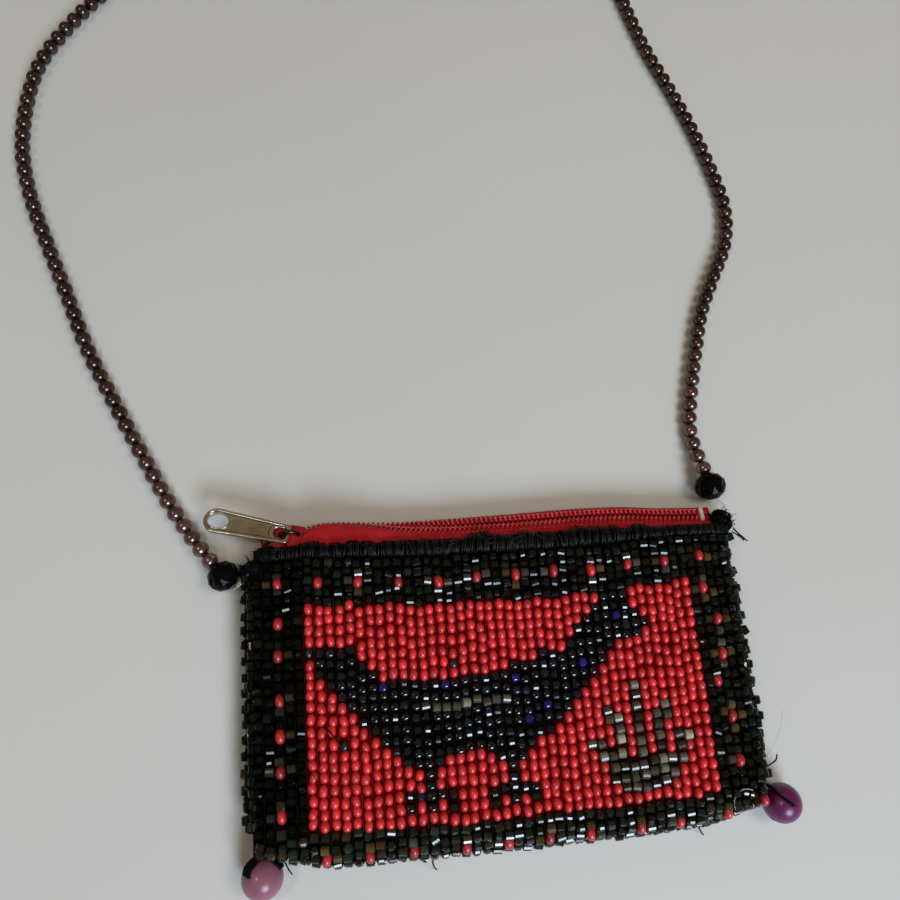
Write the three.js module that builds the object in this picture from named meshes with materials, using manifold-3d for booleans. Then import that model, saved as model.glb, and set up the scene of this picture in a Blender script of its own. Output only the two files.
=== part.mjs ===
// A beaded coin purse lying on its back: a loom-woven panel of glass beads folded at the bottom,
// a coil zip along the top edge, a strap of small pearls and a large bead at each lower corner.
// Millimetres. +X runs along the zip, +Y from the fold to the zip, +Z out of the front panel.
// The origin is on the back, under the middle of the front panel's red field.

import * as THREE from 'three';
import Module from 'manifold-3d';
import { mergeVertices } from 'three/addons/utils/BufferGeometryUtils.js';

const wasm = await Module();
wasm.setup();

// Weave: bead spacing and the number of beads in each part of the panel
const COLUMN_PITCH = 2.46;
const ROW_PITCH = 2.5;
const BORDER_PITCH = 2.4;
const FIELD_COLUMNS = 40;
const FIELD_ROWS = 20;
const BORDER_BEADS = 5;
const FOLD_ROWS = 7;
const BEAD_THICKNESS = 2.3;
const BEAD_RELIEF = 0.9;
const WARP_GROOVE = 0.6;

// Gap between pieces that touch
const SEAM_GAP = 0.3;

// Form of the filled purse: room between front and back, fall of the sides, bow of the rows
const POCKET_HEIGHT = 6.4;
const SIDE_DROP = 1.4;
const LEVEL_COLUMNS = 7;
const TOP_BOW = 1.4;
const FIELD_BOW = 2.4;
const BOTTOM_BOW = 1.0;
const FOLD_CORNER_COLUMNS = 7;
const FOLD_CORNER_CUT = 4.0;
const CUT_CORNER_BEADS = 2;

// Thread binding along the top edges and bead edging down the sides
const BINDING_WIDTH = 4.25;
const BINDING_RIB_PITCH = 2.5;
const BACK_RIB_PITCH = 5.0;
const BINDING_RIB_HEIGHT = 0.6;
const BINDING_SLANT = 8.0;
const EDGING_WIDTH = 2.2;
const EDGING_SCALLOP = 5.0;
const EDGING_SCALLOP_DEPTH = 0.9;
const EDGING_FLOOR_GAP = 0.5;
const EDGING_RISE = 2.0;

// Cloth lining and zip tapes
const LINING_WALL = 0.5;
const TAPE_THICKNESS = 0.5;
const TAPE_TUCK = 6.0;
const TAPE_END_MARGIN = 2.0;

// Zip chain: plane turned about X, coils either side of a slot, stops at both ends
const ZIP_ROLL = THREE.MathUtils.degToRad(12);
const ZIP_STAND_OFF = 3.0;
const ZIP_HEIGHT = 3.2;
const COIL_WIDTH = 1.5;
const COIL_HEIGHT = 1.5;
const COIL_SLOT = 0.9;
const COIL_LEFT_MARGIN = 4.1;
const COIL_RIGHT_MARGIN = 6.1;
const STOP_LENGTH = 1.4;
const STOP_HEIGHT = 1.8;

// Slider and its pull
const SLIDER_MARGIN = 1.2;
const SLIDER_LENGTH = 8.2;
const SLIDER_WIDTH = 5.4;
const SLIDER_NOSE_WIDTH = 4.2;
const SLIDER_CORNER = 0.6;
const SLIDER_PLATE = 0.7;
const SLIDER_CLEARANCE = 0.3;
const FLANGE_WIDTH = 0.45;
const BRIDGE_WIDTH = 0.3;
const BRIDGE_LENGTH = 2.4;
const CROWN_LENGTH = 5.2;
const CROWN_BAR = 0.9;
const CROWN_WINDOW = 2.2;
const CROWN_WIDTH = 1.2;
const PULL_LENGTH = 22.0;
const PULL_BASE_WIDTH = 5.0;
const PULL_TIP_WIDTH = 6.4;
const PULL_THICKNESS = 1.0;
const PULL_CORNER = 0.8;
const PULL_RIM = 0.25;
const PULL_RIM_WIDTH = 0.8;
const PULL_BAR = 0.9;
const PULL_EYE_LENGTH = 4.2;
const PULL_EYE_WIDTH = 3.0;
const PULL_HOLE_LENGTH = 5.4;
const PULL_HOLE_WIDTH = 3.8;
const PULL_YAW = THREE.MathUtils.degToRad(14);

// Strap, crystals and corner beads
const PEARL = 4.0;
const STRAP_SIDES = 8;
const STRAP_STEPS = 76;
const STRAP_LIFT = 0.05;
const CRYSTAL = 8.0;
const CRYSTAL_HOLE = 1.2;
const NYLON = 0.6;
const LEFT_KNOT_SIZE = 3.4;
const RIGHT_KNOT_SIZE = 4.6;
const CORNER_BEAD = 10.0;
const CORNER_BEAD_HOLE = 1.6;
const CORNER_THREAD = 1.1;

// Places of the corner pieces, counted from the corners of the weave
const KNOT_GAP = 0.1;
const LEFT_KNOT_OUT = 1.6;
const LEFT_KNOT_HEIGHT = 4.6;
const RIGHT_KNOT_OUT = 2.7;
const RIGHT_KNOT_HEIGHT = 5.6;
const LEFT_CRYSTAL_DROP = 0.4;
const RIGHT_CRYSTAL_OUT = 0.8;
const RIGHT_CRYSTAL_RISE = 11.25;
const TAPE_LOOP_OUT = 0.7;
const TAPE_LOOP_RISE = 1.05;
const LEFT_BEAD_IN = 1.2;
const LEFT_BEAD_GAP = 1.1;
const RIGHT_BEAD_DROP = 1.7;
const RIGHT_BEAD_GAP = 0.6;
const LEFT_THREAD_ARC = [107, 223].map(THREE.MathUtils.degToRad);
const LEFT_THREAD_TILT = THREE.MathUtils.degToRad(29);
const RIGHT_THREAD_ARC = [143, 34].map(THREE.MathUtils.degToRad);
const RIGHT_THREAD_TILT = THREE.MathUtils.degToRad(-34);

// Strap route on the table: steps away from the left crystal, then steps back to the right one
const LEFT_STRAND = [
  [-2.8, 3.4], [-7.5, 9.7], [-13.5, 19.1], [-21.1, 33.5], [-28.5, 48.1], [-35.6, 63.0],
  [-41.2, 78.1], [-47.0, 93.3], [-52.4, 108.6], [-55.5, 123.0], [-55.5, 138.6],
  [-52.6, 153.6], [-45.2, 167.4], [-35.7, 180.0], [-23.7, 191.5], [-8.7, 202.0],
  [10.8, 211.0], [32.8, 217.5],
];
const RIGHT_STRAND = [
  [-72.3, 204.0], [-46.3, 202.5], [-25.3, 196.0], [-10.8, 185.0], [-3.3, 173.0], [0.3, 159.5],
  [4.1, 146.0], [9.5, 132.0], [14.7, 116.7], [18.7, 101.1], [20.7, 88.5], [18.6, 75.7],
  [12.7, 64.3], [6.9, 52.4], [2.9, 39.5], [-0.5, 27.1], [-2.5, 17.5], [-2.1, 9.9], [-0.8, 4.4],
];

// Motifs of the red field, in beads from the field's upper left corner
const BIRD_OUTLINE = [
  [1, 4], [5, 4], [8, 7.2], [19, 7.4], [20.2, 5.8], [25.4, 5.2], [27.6, 3.2], [29.8, 1],
  [30.4, 0], [33, 0], [33.8, 2.6], [35.4, 3.4], [35.4, 4.4], [32, 4.6], [30.8, 6],
  [28.6, 8], [26.6, 9.8], [25.6, 10.6], [23, 13], [20.4, 15.4], [18, 14.6], [16, 13.9],
  [14, 14], [12.4, 15.6], [10, 15.2], [7.4, 12.6], [5, 10], [2.4, 8.4], [1, 6],
];
const LEG_COLUMNS = [11, 19];
const LEG_TOP_ROW = 14;
const FOOT_ROW = 17;
const FOOT_REACH = 2;
const WING_STRIPE = { row: 9, first: 11, last: 19 };
const SPRIG_BLADES = [
  [[32, 18], [32, 9]],
  [[31, 18], [29, 11]],
  [[33, 18], [35, 11]],
  [[30, 18], [27, 14]],
  [[34, 18], [37, 14]],
];

// Sizes that follow from the values above
const COLUMNS = FIELD_COLUMNS + 2 * BORDER_BEADS;
const HALF_FIELD = (FIELD_COLUMNS / 2) * COLUMN_PITCH;
const HALF_WIDTH = (COLUMNS / 2) * COLUMN_PITCH;
const FIELD_TOP = (FIELD_ROWS / 2) * ROW_PITCH;
const FIELD_BOTTOM = -FIELD_TOP;
const BORDER_TOP = FIELD_TOP + BORDER_BEADS * BORDER_PITCH;
const TOP_EDGE = BORDER_TOP + BINDING_WIDTH;
const FRONT_INNER = BEAD_THICKNESS + POCKET_HEIGHT;
const FRONT_FACE = FRONT_INNER + BEAD_THICKNESS;
const FOLD_LINE = FIELD_BOTTOM - ROW_PITCH;
const EDGING_START = FIELD_BOTTOM + EDGING_RISE;
const LEFT_EDGING_END = BORDER_TOP - CUT_CORNER_BEADS * BORDER_PITCH + FIELD_BOW;
const RIGHT_EDGING_END = BORDER_TOP + TOP_BOW - SEAM_GAP;
const TAPE_END = HALF_WIDTH - TAPE_END_MARGIN;
const TAPE_START = TOP_EDGE - TAPE_TUCK;
const FRONT_TAPE_Z = faceZ(TAPE_END) - BEAD_THICKNESS - SEAM_GAP - TAPE_THICKNESS / 2;
const BACK_TAPE_Z = BEAD_THICKNESS + SEAM_GAP + TAPE_THICKNESS / 2;
const ZIP_Y = TOP_EDGE + ZIP_STAND_OFF;
const ZIP_Z = BACK_TAPE_Z + ZIP_HEIGHT;
const COIL_LEFT = -HALF_WIDTH + COIL_LEFT_MARGIN;
const COIL_RIGHT = HALF_WIDTH - COIL_RIGHT_MARGIN;
const CHAIN_HALF = COIL_SLOT / 2 + COIL_WIDTH;
const SLIDER_X = COIL_LEFT + SLIDER_MARGIN + SLIDER_LENGTH / 2;
const PLATE_INNER = COIL_HEIGHT / 2 + SLIDER_CLEARANCE;
const PLATE_OUTER = PLATE_INNER + SLIDER_PLATE;
const PULL_Z = PLATE_OUTER + CROWN_WINDOW / 2;
const LEFT_KNOT_Y = LEFT_EDGING_END + LEFT_KNOT_SIZE / 2 + KNOT_GAP;
const RIGHT_KNOT_Y = RIGHT_EDGING_END + RIGHT_KNOT_SIZE / 2 + KNOT_GAP;
const LEFT_KNOT = [-HALF_WIDTH - LEFT_KNOT_OUT, LEFT_KNOT_Y, LEFT_KNOT_HEIGHT];
const RIGHT_KNOT = [HALF_WIDTH + RIGHT_KNOT_OUT, RIGHT_KNOT_Y, RIGHT_KNOT_HEIGHT];
const LEFT_CRYSTAL = [LEFT_KNOT[0] - (LEFT_KNOT_SIZE + CRYSTAL) / 2, LEFT_KNOT[1] - LEFT_CRYSTAL_DROP];
const RIGHT_CRYSTAL = [HALF_WIDTH + RIGHT_CRYSTAL_OUT, TOP_EDGE + RIGHT_CRYSTAL_RISE];
const TAPE_LOOP_END = [TAPE_END + TAPE_LOOP_OUT, TOP_EDGE + TAPE_LOOP_RISE, FRONT_TAPE_Z];
const LEFT_BEAD = [-HALF_WIDTH + LEFT_BEAD_IN, FOLD_LINE - LEFT_BEAD_GAP - CORNER_BEAD / 2];
const RIGHT_BEAD = [HALF_WIDTH + RIGHT_BEAD_GAP + CORNER_BEAD / 2, FOLD_LINE - RIGHT_BEAD_DROP];

// Looks of the bead glass, thread, cloth, zip and metal
const finish = (color, roughness, metalness = 0) => ({ color, roughness, metalness });
const RED_GLASS = finish(0xc2202c, 0.3);
const BLACK_GLASS = finish(0x0d1412, 0.2);
const BLUE_BLACK_GLASS = finish(0x0c0f22, 0.2);
const GREY_GLASS = finish(0x6d6a62, 0.3);
const BLACK_THREAD = finish(0x11100f, 0.9);
const CRIMSON_TAPE = finish(0x8e1220, 0.8);
const CRIMSON_COIL = finish(0x9c1a28, 0.45);
const LINING_CLOTH = finish(0x1c1a1b, 0.9);
const NICKEL = finish(0x9a938a, 0.35, 1);
const CRIMSON_ENAMEL = finish(0x8a1018, 0.35);
const WHITE_STOP = finish(0xcfc8bd, 0.5);
const PEARL_COAT = finish(0x6b4a4c, 0.25, 0.6);
const BLACK_CRYSTAL = finish(0x08080a, 0.08);
const CLEAR_NYLON = finish(0xd8d8d6, 0.3);
const MAUVE_BEAD = finish(0x9c5a86, 0.3);
const PURPLE_BEAD = finish(0x5a1668, 0.2);

const purse = new THREE.Group();

function addPiece(name, geometry, look, parent = purse) {
  const mesh = new THREE.Mesh(geometry, new THREE.MeshStandardMaterial(look));
  mesh.name = name;
  parent.add(mesh);
  return mesh;
}

// A closed mesh from points and triangles, turned so that its faces point out
function closedMesh(points, triangles) {
  let volume = 0;
  for (const [a, b, c] of triangles) {
    volume += points[a].dot(points[b].clone().cross(points[c]));
  }
  const order = volume < 0 ? ([a, b, c]) => [a, c, b] : (triangle) => triangle;
  const geometry = new THREE.BufferGeometry();
  const numbers = points.flatMap((point) => point.toArray());
  geometry.setAttribute('position', new THREE.Float32BufferAttribute(numbers, 3));
  geometry.setIndex(triangles.flatMap(order));
  geometry.computeVertexNormals();
  return geometry;
}

// Booleans on closed geometries
function toSolid(geometry) {
  const bare = geometry.clone();
  bare.deleteAttribute('normal');
  bare.deleteAttribute('uv');
  const merged = mergeVertices(bare);
  return new wasm.Manifold(new wasm.Mesh({
    numProp: 3,
    vertProperties: new Float32Array(merged.attributes.position.array),
    triVerts: new Uint32Array(merged.index.array),
  }));
}

function fromSolid(solid) {
  const mesh = solid.getMesh();
  const corners = new Float32Array(mesh.vertProperties);
  const geometry = new THREE.BufferGeometry();
  geometry.setAttribute('position', new THREE.BufferAttribute(corners, 3));
  geometry.setIndex(new THREE.BufferAttribute(new Uint32Array(mesh.triVerts), 1));
  geometry.computeVertexNormals();
  return geometry;
}

function joined(geometries) {
  return geometries.map(toSolid).reduce((whole, piece) => whole.add(piece));
}

// Extrusions of a closed outline along X and along Y
function shapeOf(points) {
  return new THREE.Shape(points.map(([a, b]) => new THREE.Vector2(a, b)));
}

function extrudeAlongX(outline, from, to) {
  const geometry = new THREE.ExtrudeGeometry(shapeOf(outline), { depth: to - from, bevelEnabled: false });
  const turn = new THREE.Matrix4().makeBasis(
    new THREE.Vector3(0, 1, 0), new THREE.Vector3(0, 0, 1), new THREE.Vector3(1, 0, 0));
  return geometry.applyMatrix4(turn).translate(from, 0, 0);
}

function extrudeAlongY(outline, from, to) {
  const geometry = new THREE.ExtrudeGeometry(shapeOf(outline), { depth: to - from, bevelEnabled: false });
  const turn = new THREE.Matrix4().makeBasis(
    new THREE.Vector3(1, 0, 0), new THREE.Vector3(0, 0, 1), new THREE.Vector3(0, -1, 0));
  return geometry.applyMatrix4(turn).translate(0, to, 0);
}

// Outline of a strip of even thickness along a bent line
function stripOutline(line, thickness) {
  const points = line.map(([a, b]) => new THREE.Vector2(a, b));
  const sideOf = (i) => {
    const before = points[i].clone().sub(points[Math.max(i - 1, 0)]).normalize();
    const after = points[Math.min(i + 1, points.length - 1)].clone().sub(points[i]).normalize();
    const along = before.clone().add(after).normalize();
    const stretch = i === 0 || i === points.length - 1 ? 1 : along.dot(after);
    return new THREE.Vector2(-along.y, along.x).multiplyScalar(thickness / 2 / stretch);
  };
  const left = points.map((p, i) => p.clone().add(sideOf(i)).toArray());
  const right = points.map((p, i) => p.clone().sub(sideOf(i)).toArray());
  return [...left, ...right.reverse()];
}

// A mesh drawn through sections that all have the same number of corners
function loft(sections) {
  const corners = sections[0].length;
  const points = sections.flat();
  const triangles = [];
  for (let s = 0; s + 1 < sections.length; s += 1) {
    for (let k = 0; k < corners; k += 1) {
      const a = s * corners + k;
      const b = s * corners + ((k + 1) % corners);
      triangles.push([a, b, b + corners], [a, b + corners, a + corners]);
    }
  }
  const last = (sections.length - 1) * corners;
  for (let k = 1; k + 1 < corners; k += 1) {
    triangles.push([0, k + 1, k], [last, last + k, last + k + 1]);
  }
  return closedMesh(points, triangles);
}

// Round solids
function tube(points, radius, sides, steps) {
  const path = new THREE.CatmullRomCurve3(points, false, 'centripetal');
  const ring = [];
  for (let k = 0; k < sides; k += 1) {
    const turn = (2 * Math.PI * k) / sides;
    ring.push([radius * Math.cos(turn), radius * Math.sin(turn)]);
  }
  return new THREE.ExtrudeGeometry(shapeOf(ring), { steps, extrudePath: path, bevelEnabled: false });
}

function drilledBall(diameter, hole, segments, rings) {
  const radius = diameter / 2;
  const start = Math.asin(hole / diameter);
  const profile = [];
  for (let k = 0; k <= rings; k += 1) {
    const turn = start + ((Math.PI - 2 * start) * k) / rings;
    profile.push(new THREE.Vector2(radius * Math.sin(turn), -radius * Math.cos(turn)));
  }
  profile.push(profile[0].clone());
  return new THREE.LatheGeometry(profile, segments);
}

// The woven panel's surface: rows bow towards the zip at the sides, and the sides fall away
const columnX = (c) => (c - COLUMNS / 2) * COLUMN_PITCH;
const rowY = (r) => FIELD_TOP - r * (r < 0 ? BORDER_PITCH : ROW_PITCH);

function bowAt(x, r) {
  const levelHalf = LEVEL_COLUMNS * COLUMN_PITCH;
  const rise = THREE.MathUtils.clamp((Math.abs(x) - levelHalf) / (HALF_FIELD - levelHalf), 0, 1);
  const bow = r < 0
    ? THREE.MathUtils.lerp(FIELD_BOW, TOP_BOW, -r / BORDER_BEADS)
    : THREE.MathUtils.lerp(FIELD_BOW, BOTTOM_BOW, r / FIELD_ROWS);
  return bow * rise;
}

function faceZ(x) {
  const beyond = Math.max(Math.abs(x) - HALF_FIELD, 0);
  return FRONT_FACE - (SIDE_DROP * beyond) / (HALF_WIDTH - HALF_FIELD);
}

function panelPoint(c, r, depth) {
  const x = columnX(c);
  return new THREE.Vector3(x, rowY(r) + bowAt(x, r), faceZ(x) - depth);
}

// Side wall of a bead field: bead corners along its upper edge, one straight line below
function wallFan(triangles, lowStart, lowEnd, uppers) {
  triangles.push([lowStart, lowEnd, uppers[uppers.length - 1]]);
  for (let k = uppers.length - 1; k > 0; k -= 1) {
    triangles.push([lowStart, uppers[k], uppers[k - 1]]);
  }
}

// A field of beads in one solid: every bead is a low pyramid on a flat-backed plate
function beadField(cells) {
  const keyOf = (c, r) => `${c},${r}`;
  const held = new Set(cells.map(([c, r]) => keyOf(c, r)));
  const has = (c, r) => held.has(keyOf(c, r));
  const points = [];
  const triangles = [];
  const upperIds = new Map();
  const addPoint = (point) => points.push(point) - 1;

  // Corners on the field's edge draw back by half the gap
  const drawnBack = (c, r) => {
    let towardsC = 0;
    let towardsR = 0;
    for (const [dc, dr] of [[-1, -1], [0, -1], [-1, 0], [0, 0]]) {
      if (has(c + dc, r + dr)) {
        towardsC += dc + 0.5;
        towardsR += dr + 0.5;
      }
    }
    const insetC = SEAM_GAP / 2 / COLUMN_PITCH;
    const insetR = SEAM_GAP / 2 / ROW_PITCH;
    return [c + Math.sign(towardsC) * insetC, r + Math.sign(towardsR) * insetR];
  };
  const upperId = (c, r) => {
    const key = keyOf(c, r);
    if (!upperIds.has(key)) {
      upperIds.set(key, addPoint(panelPoint(...drawnBack(c, r), BEAD_RELIEF)));
    }
    return upperIds.get(key);
  };

  const nextCorner = new Map();
  for (const [c, r] of cells) {
    const ring = [[c, r + 1], [c + 1, r + 1], [c + 1, r], [c, r]];
    const beyond = [[c, r + 1], [c + 1, r], [c, r - 1], [c - 1, r]];
    const crown = addPoint(panelPoint(c + 0.5, r + 0.5, 0));
    ring.forEach((corner, k) => {
      const next = ring[(k + 1) % ring.length];
      triangles.push([upperId(...corner), upperId(...next), crown]);
      if (!has(...beyond[k])) {
        nextCorner.set(keyOf(...corner), next);
      }
    });
  }

  // Edge loops: the outline runs anticlockwise, holes clockwise
  const loops = [];
  while (nextCorner.size > 0) {
    let key = nextCorner.keys().next().value;
    const loop = [];
    while (nextCorner.has(key)) {
      const corner = nextCorner.get(key);
      nextCorner.delete(key);
      loop.push(corner);
      key = keyOf(...corner);
    }
    loops.push(loop);
  }

  // Backs: only the corners where an edge turns are kept below
  const turning = 1e-5;
  const outlines = loops.map((loop) => {
    const below = loop.map(([c, r]) => panelPoint(...drawnBack(c, r), BEAD_THICKNESS));
    const flat = below.map((p) => new THREE.Vector2(p.x, p.y));
    const keeps = flat.map((p, k) => {
      const before = p.clone().sub(flat.at(k - 1)).normalize();
      const after = flat[(k + 1) % flat.length].clone().sub(p).normalize();
      return Math.abs(before.cross(after)) > turning;
    });
    const kept = keeps.flatMap((keep, k) => (keep ? [k] : []));
    const ids = kept.map((k) => addPoint(below[k]));
    kept.forEach((start, i) => {
      const end = kept[(i + 1) % kept.length];
      const uppers = [upperId(...loop[start])];
      for (let k = start; k !== end;) {
        k = (k + 1) % loop.length;
        uppers.push(upperId(...loop[k]));
      }
      wallFan(triangles, ids[i], ids[(i + 1) % ids.length], uppers);
    });
    return { ids, corners: kept.map((k) => flat[k]) };
  });
  outlines.sort((a, b) => THREE.ShapeUtils.area(b.corners) - THREE.ShapeUtils.area(a.corners));
  const [outside, ...holes] = outlines;
  const ids = outlines.flatMap((outline) => outline.ids);
  const flat = outlines.flatMap((outline) => outline.corners);
  const backs = THREE.ShapeUtils.triangulateShape(outside.corners, holes.map((hole) => hole.corners));
  const areaOf = ([a, b, c]) => THREE.ShapeUtils.area([flat[a], flat[b], flat[c]]);
  const facesUp = backs.reduce((sum, back) => sum + areaOf(back), 0) > 0;
  for (const [a, b, c] of backs) {
    triangles.push(facesUp ? [ids[a], ids[c], ids[b]] : [ids[a], ids[b], ids[c]]);
  }
  return closedMesh(points, triangles);
}

// Cells of a block of the weave
function block(firstColumn, lastColumn, firstRow, lastRow) {
  const cells = [];
  for (let r = firstRow; r < lastRow; r += 1) {
    for (let c = firstColumn; c < lastColumn; c += 1) {
      cells.push([c, r]);
    }
  }
  return cells;
}

// Motifs of the field: a standing bird with a wing stripe, and a sprig of grass beside it
function insideOutline(outline, px, py) {
  let inside = false;
  outline.forEach(([ax, ay], k) => {
    const [bx, by] = outline.at(k - 1);
    const crosses = ay > py !== by > py;
    if (crosses && px < ((bx - ax) * (py - ay)) / (by - ay) + ax) {
      inside = !inside;
    }
  });
  return inside;
}

function isLegOrFoot(i, j) {
  return LEG_COLUMNS.some((leg) => {
    const reach = Math.abs(i - leg);
    const shank = reach === 0 && j >= LEG_TOP_ROW && j < FOOT_ROW;
    const foot = j === FOOT_ROW && reach <= FOOT_REACH;
    const toe = j === FOOT_ROW + 1 && reach <= FOOT_REACH && reach % 2 === 0;
    return shank || foot || toe;
  });
}

function isSprig(i, j) {
  return SPRIG_BLADES.some(([[baseI, baseJ], [tipI, tipJ]]) => {
    if (j > baseJ || j < tipJ) {
      return false;
    }
    const lean = (row) => Math.round(baseI + ((tipI - baseI) * (baseJ - row)) / (baseJ - tipJ));
    const here = lean(j);
    const below = j === baseJ ? here : lean(j + 1);
    return i >= Math.min(here, below) && i <= Math.max(here, below);
  });
}

function motifAt(i, j) {
  const { row, first, last } = WING_STRIPE;
  if (j === row && i >= first && i <= last) {
    return 'wing';
  }
  if (insideOutline(BIRD_OUTLINE, i + 0.5, j + 0.5) || isLegOrFoot(i, j)) {
    return 'bird';
  }
  return isSprig(i, j) ? 'sprig' : 'red';
}

function fieldMotifs() {
  const motifs = [];
  for (let j = 0; j < FIELD_ROWS; j += 1) {
    motifs.push(Array.from({ length: FIELD_COLUMNS }, (_, i) => motifAt(i, j)));
  }
  // Where beads of one kind meet only at a corner, the bead below the corner joins them
  for (let j = 0; j + 1 < FIELD_ROWS; j += 1) {
    for (let i = 0; i + 1 < FIELD_COLUMNS; i += 1) {
      const [a, b] = [motifs[j][i], motifs[j][i + 1]];
      const [c, d] = [motifs[j + 1][i], motifs[j + 1][i + 1]];
      if (a === d && a !== b && a !== c) {
        motifs[j + 1][i] = a;
      } else if (b === c && b !== a && b !== d) {
        motifs[j + 1][i + 1] = b;
      }
    }
  }
  return motifs;
}

function motifCells(motifs, name) {
  return block(0, FIELD_COLUMNS, 0, FIELD_ROWS)
    .filter(([i, j]) => motifs[j][i] === name)
    .map(([i, j]) => [i + BORDER_BEADS, j]);
}

// The bottom border and the fold: one level row, then rows round a half circle to the back
function foldPoint(c, r, depth) {
  const x = columnX(c);
  const radius = faceZ(x) / 2;
  const turn = (Math.max(r - 1, 0) / FOLD_ROWS) * Math.PI;
  const bow = bowAt(x, FIELD_ROWS) * (1 - r / (FOLD_ROWS + 1));
  const cornerHalf = HALF_WIDTH - FOLD_CORNER_COLUMNS * COLUMN_PITCH;
  const cornerShare = Math.max(Math.abs(x) - cornerHalf, 0) / (HALF_WIDTH - cornerHalf);
  const level = FIELD_BOTTOM - Math.min(r, 1) * ROW_PITCH + bow;
  const bulge = Math.sin(turn);
  const reach = bulge * (radius - depth) - bulge * bulge * FOLD_CORNER_CUT * cornerShare;
  return new THREE.Vector3(x, level - reach, radius + (radius - depth) * Math.cos(turn));
}

function foldedBeads() {
  const rows = FOLD_ROWS + 1;
  const halfGapRows = SEAM_GAP / 2 / ROW_PITCH;
  const rowAt = (r) => THREE.MathUtils.clamp(r, halfGapRows, rows - halfGapRows);
  const middle = COLUMNS / 2;
  const bends = [
    0, FOLD_CORNER_COLUMNS, BORDER_BEADS, middle - LEVEL_COLUMNS,
    middle + LEVEL_COLUMNS, COLUMNS - BORDER_BEADS, COLUMNS - FOLD_CORNER_COLUMNS, COLUMNS,
  ].sort((a, b) => a - b);
  const points = [];
  const triangles = [];
  const addPoint = (point) => points.push(point) - 1;
  const range = (count) => Array.from({ length: count }, (_, k) => k);
  const outer = range(rows + 1).map((r) =>
    range(COLUMNS + 1).map((c) => addPoint(foldPoint(c, rowAt(r), BEAD_RELIEF))));
  const inner = range(rows + 1).map((r) =>
    bends.map((c) => addPoint(foldPoint(c, rowAt(r), BEAD_THICKNESS))));
  for (const [c, r] of block(0, COLUMNS, 0, rows)) {
    const ring = [outer[r + 1][c], outer[r + 1][c + 1], outer[r][c + 1], outer[r][c]];
    const crown = addPoint(foldPoint(c + 0.5, r + 0.5, 0));
    ring.forEach((corner, k) => triangles.push([corner, ring[(k + 1) % ring.length], crown]));
  }
  const lastBend = bends.length - 1;
  range(rows).forEach((r) => {
    range(lastBend).forEach((k) => {
      const [a, b, c, d] = [inner[r][k], inner[r][k + 1], inner[r + 1][k + 1], inner[r + 1][k]];
      triangles.push([a, b, c], [a, c, d]);
    });
    wallFan(triangles, inner[r][0], inner[r + 1][0], [outer[r][0], outer[r + 1][0]]);
    const rightEnd = [outer[r + 1][COLUMNS], outer[r][COLUMNS]];
    wallFan(triangles, inner[r + 1][lastBend], inner[r][lastBend], rightEnd);
  });
  range(lastBend).forEach((k) => {
    const span = outer[rows].slice(bends[k], bends[k + 1] + 1);
    wallFan(triangles, inner[rows][k], inner[rows][k + 1], span);
    const front = outer[0].slice(bends[k], bends[k + 1] + 1).reverse();
    wallFan(triangles, inner[0][k + 1], inner[0][k], front);
  });
  return closedMesh(points, triangles);
}

// The back: columns of beads with a groove over each warp thread, flat where they rest
function backBeads() {
  const ridges = COLUMNS - 1;
  const outline = [
    [HALF_WIDTH, BEAD_THICKNESS], [-HALF_WIDTH, BEAD_THICKNESS], [-HALF_WIDTH, WARP_GROOVE],
  ];
  for (let k = 0; k < ridges; k += 1) {
    const x = (k - (ridges - 1) / 2) * COLUMN_PITCH;
    const half = (COLUMN_PITCH - WARP_GROOVE) / 2;
    outline.push([x - half, 0], [x + half, 0]);
    if (k + 1 < ridges) {
      outline.push([x + COLUMN_PITCH / 2, WARP_GROOVE]);
    }
  }
  outline.push([HALF_WIDTH, WARP_GROOVE]);
  return extrudeAlongY(outline, FOLD_LINE + SEAM_GAP, BORDER_TOP);
}

// Thread binding along a top edge: a band of whip stitches, each stitch a rib
function bindingEdge(x) {
  const slant = Math.max(-HALF_WIDTH + 1.5 * BINDING_SLANT - x, 0) / BINDING_SLANT;
  return TOP_EDGE - BINDING_WIDTH * 0.5 * slant;
}

function binding(from, to, ribPitch, lowEdge, highEdge, under, over) {
  const count = 2 * Math.round((to - from) / ribPitch);
  const sections = [];
  for (let k = 0; k <= count; k += 1) {
    const x = from + ((to - from) * k) / count;
    const crest = over(x, k % 2 === 1 ? BINDING_RIB_HEIGHT : 0);
    const base = under(x, k % 2 === 1 ? BINDING_RIB_HEIGHT : 0);
    sections.push([
      new THREE.Vector3(x, lowEdge(x), base),
      new THREE.Vector3(x, highEdge(x), base),
      new THREE.Vector3(x, highEdge(x), crest),
      new THREE.Vector3(x, lowEdge(x), crest),
    ]);
  }
  return loft(sections);
}

// Bead edging down a side: a scalloped strip between the edges of the front and the back
function edging(side, from, to) {
  const inner = HALF_WIDTH + SEAM_GAP;
  const count = Math.round((to - from) / EDGING_SCALLOP);
  const step = (to - from) / count;
  const outline = [[side * inner, to], [side * inner, from]];
  for (let k = 0; k < count; k += 1) {
    const base = from + k * step;
    const low = inner + EDGING_WIDTH - EDGING_SCALLOP_DEPTH;
    outline.push([side * low, base + 0.05 * step]);
    outline.push([side * (inner + EDGING_WIDTH), base + 0.3 * step]);
    outline.push([side * (inner + EDGING_WIDTH), base + 0.7 * step]);
    outline.push([side * low, base + 0.95 * step]);
  }
  const height = faceZ(HALF_WIDTH) - BEAD_RELIEF - EDGING_FLOOR_GAP;
  const shape = shapeOf(outline);
  return new THREE.ExtrudeGeometry(shape, { depth: height, bevelEnabled: false })
    .translate(0, 0, EDGING_FLOOR_GAP);
}

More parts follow.
